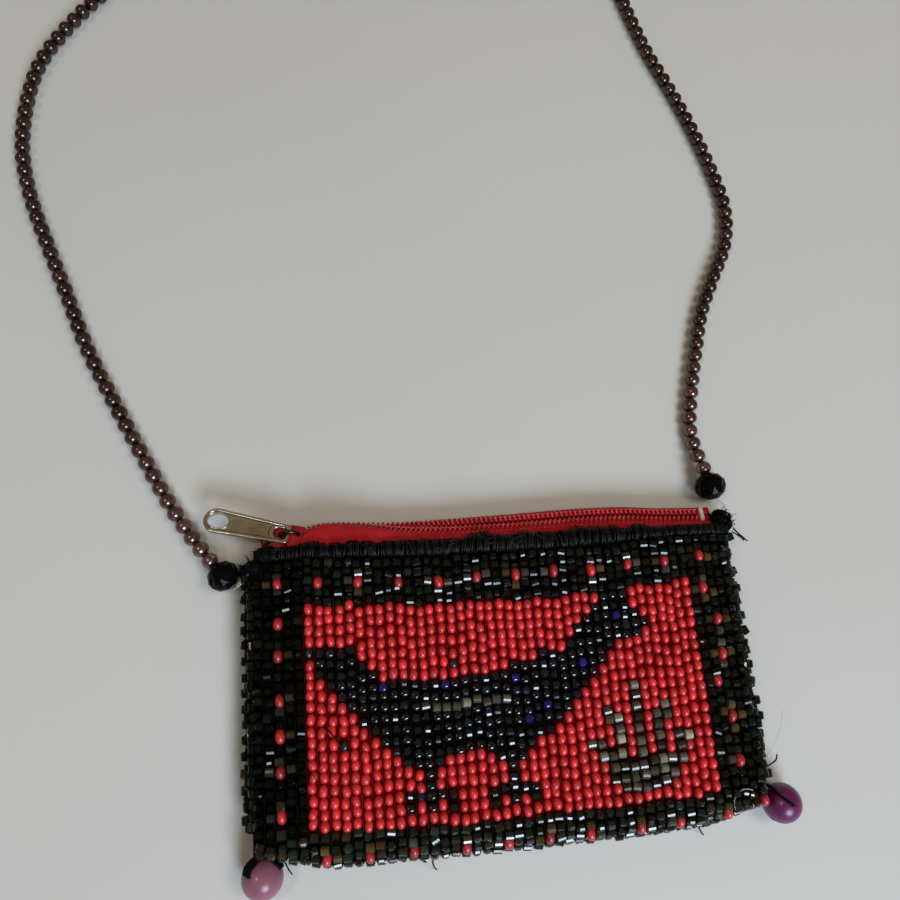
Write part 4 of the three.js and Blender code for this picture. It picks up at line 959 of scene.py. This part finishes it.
# Zip chain by stations along its run: place, rise towards the back, turn in degrees and drop
CHAIN_TABLE = curve_through([
    (-60, -1.7, 12, 2.4), (-58.4, -1.2, 12, 1.7), (-56, -0.1, 12, 0.2), (-51.5, 0.1, 14, 0),
    (-49.5, 0.7, 45, 0), (-47, 1.9, 70, 0), (-43, 2.6, 78, 0), (-36, 2.3, 74, 0), (-30, 1.7, 64, 0),
    (-22, 1.2, 42, 0), (-12, 1.0, 24, 0), (4, 1.1, 13, 0), (24, 1.5, 8, 0), (36, 1.3, 8, 0),
    (46, 0.5, 11, 0), (60, 0.0, 12, 0),
], 12)
TAPE_THICKNESS = 0.45
COIL_REACH = 0.66
COIL_RISE = 0.50
WIRE_RADIUS = 0.27


def chain_point(x, across, height):
    """A place on the chain, which rises and turns along its run."""
    rise, roll, drop = (np.interp(x, CHAIN_TABLE[:, 0], CHAIN_TABLE[:, k]) for k in (1, 2, 3))
    roll = np.radians(roll)
    y = ZIP_Y + rise + across * np.cos(roll) + height * np.sin(roll)
    z = ZIP_Z - drop - across * np.sin(roll) + height * np.cos(roll)
    return np.stack([np.broadcast_to(x, np.shape(y)), y, z], -1)


def strip(line):
    """Closed cross-section of a tape along an open line in the YZ plane."""
    line = np.asarray(line, float)
    along = np.gradient(line, axis=0)
    normal = unit(np.stack([along[:, 0], -along[:, 2], along[:, 1]], -1)) * TAPE_THICKNESS / 2
    return np.vstack([line + normal, (line - normal)[::-1]])


def tape_sections(x):
    """Cross-sections of the front and the back tape at one station, narrower in front under the slider."""
    def on_chain(across, height):
        return chain_point(x, across, height)

    narrow = 1 - smooth_step(-52, -48, x)
    start = TAPE_START + 6.75 * narrow * (1 - 0.5 * smooth_step(-56, -59, x))
    inner = max(40.2, start + 0.1)
    front = [
        (x, start, FRONT_TAPE_Z), (x, (start + inner) / 2, FRONT_TAPE_Z), (x, inner, FRONT_TAPE_Z + 0.05),
        on_chain(-3.0 + 0.9 * narrow, 0.1), on_chain(-2.7 + 0.75 * narrow, 0.05),
        on_chain(-2.1 + 0.3 * narrow, -0.1), on_chain(-1.2, -0.45), on_chain(-0.2, -0.45),
    ]
    far = on_chain(2.05, -0.75)
    back = [
        on_chain(0.2, -0.45), on_chain(1.1, -0.45), on_chain(1.6, -0.5), far,
        (x, far[1] + 0.15, max(far[2] - 0.7, BACK_TAPE_Z + 1.0)), (x, far[1] - 0.1, BACK_TAPE_Z + 0.5),
        (x, far[1] - 0.8, BACK_TAPE_Z + 0.05), (x, far[1] - 2.0, BACK_TAPE_Z),
        (x, 40.0, BACK_TAPE_Z), (x, TAPE_START, BACK_TAPE_Z),
    ]
    return strip(front), strip(back)


def zip_tapes():
    front, back = zip(*[tape_sections(x) for x in np.linspace(-TAPE_END, TAPE_END + 0.3, 110)])
    add_piece("front_tape", "front_zip_tape", loft(front), CRIMSON_TAPE)
    add_piece("back_tape", "back_zip_tape", loft(back), CRIMSON_TAPE)


def zip_chain():
    """The two coils, and the stitches that hold them to the tapes."""
    loops = (COIL_RIGHT - COIL_LEFT) / TOOTH_PITCH
    turn = np.linspace(0, loops * 2 * math.pi, int(loops * 12))
    x = COIL_LEFT + 0.35 + turn / (2 * math.pi) * (COIL_RIGHT - COIL_LEFT - 0.7) / loops
    for name, node, side, phase in (("front_coil_wire", "front_coil", -1, 0.0),
                                    ("back_coil_wire", "back_coil", 1, math.pi)):
        across = side * (COIL_MIDDLE + COIL_REACH * np.cos(turn + phase))
        path = chain_point(x, across, COIL_RISE * np.sin(turn + phase))
        add_piece(name, node, tube(path, WIRE_RADIUS, 5), CRIMSON_COIL)
    stitches = []

    def stitch(place, across, base, top, radius):
        ends = np.array([place - 0.28, place, place + 0.28])
        path = chain_point(ends, np.full(3, across), np.array([base, top, base]))
        stitches.append(tube(path, radius, 4))

    for place in np.arange(COIL_LEFT + 1.0, COIL_RIGHT - 0.5, TOOTH_PITCH):
        for across in (-1.15, 1.15):
            stitch(place, across, 0.5, 0.8, 0.14)
        if place > SLIDER_X + SLIDER_LENGTH / 2:
            stitch(place, -2.4, 0.1, 0.32, 0.12)
    add_piece("zip_stitches", None, joined(stitches), ZIP_STITCH)


def rounded_box(half, bevel):
    a, b, c = half
    outline = []
    for sx, sy in ((1, 1), (-1, 1), (-1, -1), (1, -1)):
        for turn in (0, 30, 60, 90):
            angle = math.atan2(sy, sx) - math.pi / 4 + math.radians(turn)
            x = sx * (a - bevel) + bevel * math.cos(angle)
            outline.append((x, sy * (b - bevel) + bevel * math.sin(angle)))
    return plate([outline], 2 * c, min(bevel, c) * 0.6)


CHAIN_FRAME = at((0, ZIP_Y, ZIP_Z)) @ about("X", -ZIP_ROLL)


def zip_stops():
    for name, node, across, half_width, x, look in (
            ("front_stop_crimp", "front_top_stop", -1.2, 0.75, -58.4, NICKEL),
            ("back_stop_crimp", "back_top_stop", 1.2, 0.75, -58.4, NICKEL),
            ("bottom_stop_crimp", "bottom_stop", 0.0, CHAIN_HALF, 57.1, WHITE_STOP)):
        crimp = rounded_box((0.55, half_width, 0.85), 0.3)
        spot = at(chain_point(x, across, 0.0)) @ about("X", -ZIP_ROLL)
        add_piece(name, node, moved(crimp, spot), look)


def slider_pieces():
    half, wide, nose = SLIDER_LENGTH / 2, SLIDER_WIDTH / 2, SLIDER_NOSE_WIDTH / 2
    upper = [(-half, 0), (-half, wide - 0.9), (-half + 0.25, wide - 0.3), (-half + 0.8, wide), (-0.6, wide),
             (0.8, wide - 0.12), (half - 0.9, nose), (half - 0.25, nose - 0.3), (half, nose - 0.9), (half, 0)]
    outline = upper + [(x, -y) for x, y in upper[-2:0:-1]]
    solids = []
    for side in (-1, 1):
        level = side * (PLATE_INNER + PLATE_OUTER) / 2
        solids.append(moved(plate([outline], 0.7, 0.2), at((0, 0, level))))
        for edge in (-1, 1):
            lip = rounded_box((half / 2, 0.24, 0.33), 0.12)
            spot = (-half / 2 + 0.3, edge * (wide - 0.25), side * (PLATE_INNER - 0.15))
            solids.append(moved(lip, at(spot)))
    solids.append(moved(rounded_box((1.2, 0.15, PLATE_OUTER - 0.2), 0.1), at((-2.3, 0, 0))))
    solids.append(loft([[(x * grow, y * grow, PLATE_OUTER + rise) for x, y in outline] for grow, rise in
                        ((0.96, -0.3), (0.94, 0.0), (0.84, 0.14), (0.62, 0.23), (0.3, 0.28))]))
    arch = np.array([(-2.15 * math.cos(turn), 0, PLATE_OUTER - 0.15 + 2.75 * math.sin(turn) ** 0.6)
                     for turn in np.linspace(0, math.pi, 15)])
    crown = tube(arch, np.where(np.abs(arch[:, 0]) > 1.9, 0.62, 0.47), 8)
    place = CHAIN_FRAME @ at((SLIDER_X, 0, 0))
    # The crown is in the painted shade nickel, dark because it sits in shadow
    add_piece("slider_crown", None, moved(crown, place), SHADED_NICKEL, body="slider")
    add_piece("slider_enamel", "slider_body", moved(joined(solids), place), CRIMSON_ENAMEL, body="slider")


def pull_pieces():
    half_turn = np.linspace(-math.pi / 2, math.pi / 2, 25)

    def tab(inset):
        base, tip, start, centre = 2.5 - inset, 3.2 - inset, -0.45 + inset, 18.35
        outline = [(start, base - 0.8), (start, -base + 0.8), (start + 0.25, -base + 0.25)]
        outline.append((start + 0.8, -base))
        outline += [(centre + tip * math.cos(turn), tip * math.sin(turn)) for turn in half_turn]
        return outline + [(start + 0.8, base), (start + 0.25, base - 0.25)]

    def oval(length, width, centre=17.9):
        return [(centre + length / 2 * math.cos(t), width / 2 * math.sin(t))
                for t in np.linspace(0, 2 * math.pi, 32, endpoint=False)]

    eye = [(0.45, 1.0), (0.45, -1.0), (0.75, -1.3), (1.2, -1.4)]
    eye += [(2.5 + 1.2 * math.cos(turn), 1.4 * math.sin(turn)) for turn in half_turn[::2]]
    eye += [(1.2, 1.4), (0.75, 1.3)]
    hole = oval(5.4, 3.8)
    body = plate([tab(0), eye, hole], 1.0, 0.18)
    rim = plate([tab(0.02), tab(0.75)], 0.5, 0.16)
    lip = plate([oval(6.3, 4.7), hole], 0.4, 0.15)
    # A thin dark band inside the rim and a dark arc round the eye paint the shade and dark reflection along
    # the rim's inner side
    shade_line = plate([tab(0.72), tab(0.92)], 0.12, 0.02)
    arc = [(3.3 + 1.5 * math.cos(t), 1.75 * math.sin(t), 0.5) for t in np.linspace(-1.5, 1.5, 16)]
    shade_lines = [moved(shade_line, at((0, 0, 0.5))), tube(arc, 0.10, 6)]
    solids = [body, moved(rim, at((0, 0, 0.48))), moved(lip, at((0, 0, 0.46)))]
    place = CHAIN_FRAME @ at((SLIDER_X - 0.3, -0.3, PULL_Z))
    place = place @ about("Z", math.pi - PULL_YAW) @ about("Y", PULL_DROOP)
    add_piece("pull_painted_shade_lines", None, moved(joined(shade_lines), place), SHADED_NICKEL, body="pull")
    add_piece("pull_tab", "slider_pull", moved(joined(solids), place), NICKEL, body="pull")


# Strap: pearls on a line from crystal to crystal
def strap_line():
    """The line of the strap, which lies on the table and rises to the crystals at its ends."""
    points = []
    for (x, y), strand in ((LEFT_CRYSTAL, LEFT_STRAND), (RIGHT_CRYSTAL, RIGHT_STRAND)):
        points += [(x + dx, y + dy, STRAP_HEIGHT) for dx, dy in strand]
    line = curve_through(points, 24)
    run = run_along(line)
    ramp, height = 14, 1.75
    rise = np.maximum(1 - smooth_step(0, ramp, run), smooth_step(run[-1] - ramp, run[-1], run))
    line[:, 2] += height * rise
    return line


def frames_along(line):
    """Frames whose X runs along a line on the table."""
    along = unit(np.gradient(line, axis=0))
    across = unit(np.cross((0, 0, 1), along))
    return np.stack([along, across, np.cross(along, across)], -1)


def pearl_tints(count):
    """Greys that darken the pearls, less towards both ends, each a little its own."""
    from_end = np.minimum(np.arange(count), np.arange(count)[::-1])
    depth = DARK_PEARL + (1 - DARK_PEARL) * np.clip(1 - from_end / PALE_PEARLS, 0, 1)
    depth = depth * np.random.default_rng(93).uniform(0.88, 1.12, count)
    return np.repeat(depth[:, None], 3, axis=1)


def add_crystal(name, node, place, step, grow):
    gem = bead([(-3.5, 0), (-3.5, 1.2), (-2.5, 3.0), (-0.85, 4.0)], 12, stagger=True)
    spot = at((place[0], place[1], grow * CRYSTAL / 2)) @ about("Z", math.atan2(step[1], step[0]))
    spot = spot @ about("X", 0.3) @ Matrix.Scale(grow, 4)
    return add_piece(name, node, moved(gem, spot), BLACK_CRYSTAL, smooth=False)


def strap():
    line = strap_line()
    length = float(run_along(line)[-1])
    count = int(round(length / PEARL_STEP))
    places = spaced(line, count + 1)
    middles = (places[:-1] + places[1:]) / 2
    ball = lathe(ball_profile(PEARL / 2, 0, 12), 20)
    sizes = np.ones((count, 3)) * (1 + np.random.default_rng(91).uniform(-0.02, 0.012, (count, 1)))
    sizes[:, 0] = 1.01 * length / count / PEARL
    solid = copies(ball, middles, frames_along(middles), sizes)
    pearls = add_piece("pearl_strap", "pearl_strand", solid, BRONZE_PEARL,
                       tints=tinted(ball, pearl_tints(count)))
    left = add_crystal("left_crystal_cut", "left_crystal", LEFT_CRYSTAL, LEFT_STRAND[0], grow=1.0)
    right = add_crystal("right_crystal_cut", "right_crystal", (62.0, 52.3), RIGHT_STRAND[-1], grow=1.06)
    start = np.array([RIGHT_CRYSTAL[0], RIGHT_CRYSTAL[1] - 3.0, 4.0])
    for name, node, end, side in (("tape_nylon", "tape_nylon_loop", (60.2, 42.6, 6.9), -1),
                                  ("knot_nylon", "knot_nylon_loop", (64.4, 42.6, 6.2), 1)):
        middle = (start + end) / 2 + np.array([side * 1.2, 0.4, 0.3])
        loop = tube(curve_through([start, middle, end], 8), 0.16, 8)
        add_piece(name, node, loop, CLEAR_NYLON)


# Knots of thread at the upper corners
KNOT_TURNS = 26


def knot(name, node, place, radius, squeeze, seed, tufts):
    """A ball of wound thread, with short ends that stand out of it."""
    draw = np.random.default_rng(seed)
    place, squeeze = np.array(place), np.array(squeeze)
    points, faces = lathe(ball_profile(radius * 0.8, 0, 9), 14)
    solids = [(points * squeeze + place, faces)]
    for _ in range(KNOT_TURNS):
        axis = unit(draw.normal(0, 1, 3))
        side = unit(np.cross(axis, draw.normal(0, 1, 3)))
        off = draw.uniform(-0.55, 0.55)
        turn = np.linspace(0, draw.uniform(3.5, 6.0), 16)
        ring = np.outer(np.cos(turn), side) + np.outer(np.sin(turn), np.cross(axis, side))
        ring = math.sqrt(1 - off * off) * ring + axis * off
        path = place + ring * radius * draw.uniform(0.80, 1.08) * squeeze
        solids.append(tube(path, draw.uniform(0.16, 0.28), 5))
    for _ in range(tufts):
        way = unit(draw.normal(0, 1, 3) * [1, 1, 0.5] + [0.5 * np.sign(place[0]), 0, 0.1])
        root = place + way * radius * 0.8 * squeeze
        reach = draw.uniform(0.8, 2.4)
        path = curve_through([root, root + way * reach * 0.5 + draw.normal(0, 0.25, 3),
                              root + way * reach + draw.normal(0, 0.4, 3)], 3)
        solids.append(tube(path, np.linspace(0.13, 0.05, len(path)), 4))
    add_piece(name, node, joined(solids), KNOT_THREAD)


# Large beads at the lower corners, and the thread that binds them
def corner_bead(name, node, place, look):
    """A ball with a hole through it."""
    outer = ball_profile(CORNER_BEAD / 2, math.asin(0.16), 22)
    hole = [(x, 0.8) for x in np.linspace(outer[-1][0] - 0.15, outer[0][0] + 0.15, 6)]
    ball = loft([hoop(x, radius, 36) for x, radius in outer + hole], ring=True)
    add_piece(name, node, moved(ball, at(place) @ about("Z", math.radians(45))), look)


def bead_wrap(name, node, place, stops, strands, width, seed):
    """Thread over a bead, through stops given as bearing and height in degrees."""
    draw = np.random.default_rng(seed)
    solids = []
    for k in range(strands):
        off = width * (k / max(strands - 1, 1) - 0.5)
        ways = []
        for bearing, height in stops:
            a, h = math.radians(bearing), math.radians(height + off + draw.normal(0, 1.2))
            ways.append((math.cos(a) * math.cos(h), math.sin(a) * math.cos(h), math.sin(h)))
        path = np.array(place) + unit(curve_through(ways, 8)) * (CORNER_BEAD / 2 + 0.22 + 0.12 * (k % 2))
        solids.append(tube(path, draw.uniform(0.22, 0.32), 6))
    add_piece(name, node, joined(solids), KNOT_THREAD)


# Lining: a cloth bag inside the weave, open towards the zip
def lining():
    phases = np.random.default_rng(101).uniform(0, 6.28, 2)
    wall, low, high, half = 0.3, 2.75, 8.25, 48.6
    top, bottom = 34.9, -26.6
    around = np.linspace(0, 2 * math.pi, 64, endpoint=False)
    cos, sin = np.cos(around), np.sin(around)

    def loop(y, inset):
        x = (half - inset) * np.sign(cos) * np.abs(cos) ** 0.35
        z = (low + high) / 2 + ((high - low) / 2 - inset) * np.sign(sin) * np.abs(sin) ** 0.5
        z = z - 0.12 * np.sin(0.21 * x + phases[0]) * np.sin(0.17 * y + phases[1]) * np.sign(sin)
        return np.stack([x, np.full_like(x, y), z], -1)

    rows = np.linspace(top, bottom, 26)
    outer = [loop(y, 0.0) for y in rows[::-1]]
    inner = [loop(y, wall) for y in rows[:-1]]
    bag = add_piece("lining_cloth", "lining_bag", loft(outer + inner), LINING_CLOTH)


# Loose ends of thread and nylon
def loose_ends():
    blacks = [
        [(-54.8, -30.0, 6.0), (-54.4, -31.6, 4.0), (-53.8, -33.4, 1.5)],
        [(-20.2, -31.4, 5.5), (-21.2, -33.4, 4.0), (-20.8, -35.0, 2.5), (-20.2, -36.0, 1.0)],
        [(65.4, 39.8, 6.6), (67.0, 38.0, 6.8), (68.0, 37.2, 6.5), (69.0, 36.4, 6.1)],
        [(65.2, 39.2, 6.0), (67.0, 37.6, 6.4), (68.2, 36.8, 6.2)],
        [(65.8, 40.2, 5.8), (67.4, 37.8, 5.9), (68.2, 36.6, 5.9)],
        [(44.8, -31.6, 4.6), (45.2, -33.2, 2.6), (46.8, -35.1, 0.6)],
        [(-45.2, -1.0, 11.1), (-43.4, -2.6, 12.0), (-41.6, -5.2, 11.8), (-40.6, -6.8, 11.1)],
        [(63.8, -20.0, 6.4), (65.8, -18.6, 7.2), (66.4, -17.4, 7.0)],
    ]
    strands = [tube(curve_through(path, 5), 0.2, 5) for path in blacks]
    add_piece("loose_threads", None, joined(strands), BLACK_THREAD)
    curl = [(55.2 + 3.3 * math.cos(t), -27.3 + 3.3 * math.sin(t), 9.9 + 0.4 * math.sin(t))
            for t in np.linspace(1.0, 3.5, 20)]
    line = curve_through([(63.8, -18.0, 6.5), (66.2, -13.5, 8.6), (67.6, -10.0, 9.4), (69.0, -7.0, 9.0)], 8)
    solids = [tube(curl, 0.14, 6), tube(line, 0.06, 5)]
    for drop in (0.0, 0.35, 0.7, -0.3):
        wisp = [(-62.4, 35.6 - drop, 6.4), (-64.2, 34.0 - drop, 6.6), (-66.2, 32.4 - 0.4 * drop, 5.6 + drop)]
        solids.append(tube(curve_through(wisp, 6), 0.17, 5))
    add_piece("loose_nylon", None, joined(solids), CLEAR_NYLON)


# Places on the front band where thread stands out over the tape, and how far
TUFTS = ((-55.5, 1.2), (-52.5, 0.6), (-45.8, 1.4), (-38.0, 0.8), (-3.3, 1.2))

red_field()
motif_pieces()
border_pieces()
weave_ground()
side_edging("left_picots", "left_edging", side=-1, low=-23.0, high=34.6, picot=3.6, seed=71, loose=0.9)
side_edging("right_picots", "right_edging", side=1, low=-23.0, high=38.1, picot=4.2, seed=75, loose=1.5)
whipping("front_whip", "front_binding", front_arc, left=-56.6, right=HALF_WIDTH, pitch=1.9, seed=111,
         lint=60, tufts=TUFTS)
whipping("back_whip", "back_binding", back_arc, left=-HALF_WIDTH, right=HALF_WIDTH, pitch=2.6, seed=121)
zip_tapes()
zip_chain()
zip_stops()
slider_pieces()
pull_pieces()
strap()
knot("corner_threads", None, (-57.8, 40.3, 7.5), radius=1.8, squeeze=(1.5, 1.0, 0.9), seed=151, tufts=10)
knot("corner_tuft", None, (-61.2, 37.4, 6.8), radius=1.6, squeeze=(1.2, 1.0, 0.9), seed=153, tufts=8)
knot("left_knot", "left_corner_knot", LEFT_KNOT, radius=1.7, squeeze=(1.0, 1.15, 1.0), seed=131, tufts=22)
knot("right_knot", "right_corner_knot", RIGHT_KNOT, radius=2.75, squeeze=(1.3, 1.15, 0.95), seed=137,
     tufts=44)
corner_bead("left_mauve_bead", "left_corner_bead", LEFT_BEAD, MAUVE)
corner_bead("right_purple_bead", "right_corner_bead", RIGHT_BEAD, PURPLE)
bead_wrap("left_bead_wrap", "left_bead_thread", LEFT_BEAD,
          ((23, 10), (43, 14), (70, 17), (94, 20), (117, 30), (140, 37), (157, 46)),
          strands=9, width=30, seed=141)
bead_wrap("right_bead_wrap", "right_bead_thread", RIGHT_BEAD,
          ((122, -6), (122, 14), (129, 35), (131, 61), (115, 84), (1, 86)),
          strands=5, width=9, seed=143)
lining()
loose_ends()


# Stage, light and camera
def stand(name, data, axes, place):
    """Puts a lamp or a camera at a place, with its axes given."""
    holder = add_object(name, data)
    matrix = np.eye(4)
    matrix[:3, :3] = np.stack(axes, -1)
    matrix[:3, 3] = place
    holder.matrix_world = Matrix(matrix)
    return holder


def area_light(name, place, target, size, power, colour, glints=True):
    lamp = with_values(bpy.data.lights.new(name, "AREA"), shape="DISK", size=size, energy=power, color=colour)
    back = unit(np.array(place) - np.array(target))
    side = unit(np.cross((0.1, 1, 0.2), back))
    stand(name, lamp, (side, np.cross(back, side), back), place).visible_glossy = glints


def stage():
    floor_mesh = bpy.data.meshes.new("floor")
    reach = 6.0
    corners = [(-reach, -reach, 0), (reach, -reach, 0), (reach, reach, 0), (-reach, reach, 0)]
    floor_mesh.from_pydata(corners, [], [(0, 1, 2, 3)])
    floor_mesh.materials.append(PALE_FLOOR)
    floor = add_object("floor", floor_mesh)
    area_light("key", (0.30, -0.90, 0.80), (0, 0, 0.01), size=0.58, power=14.4, colour=(0.70, 0.84, 1.0))
    area_light("side", (0.62, -0.05, 1.20), (0, 0, 0.01), size=0.60, power=6.4, colour=(1.0, 0.90, 0.77),
               glints=False)
    area_light("left", (-0.52, 0.12, 0.95), (0, 0.05, 0.01), size=0.14, power=1.25, colour=(1.0, 0.95, 0.88))
    world = bpy.data.worlds.new("room")
    world.use_nodes = True
    background = world.node_tree.nodes["Background"]
    background.inputs["Color"].default_value = (1.0, 0.76, 0.44, 1)
    background.inputs["Strength"].default_value = 0.18
    scene = bpy.context.scene
    scene.world = world
    scene.view_settings.view_transform = "Standard"
    data = with_values(bpy.data.cameras.new("camera"), lens=CAMERA_LENS, sensor_width=36.0, clip_start=0.005)
    axes = (CAMERA_RIGHT, CAMERA_UP, CAMERA_BACK)
    scene.camera = stand("camera", data, axes, np.array(CAMERA_PLACE) * MM)


stage()
bpy.context.view_layer.update()
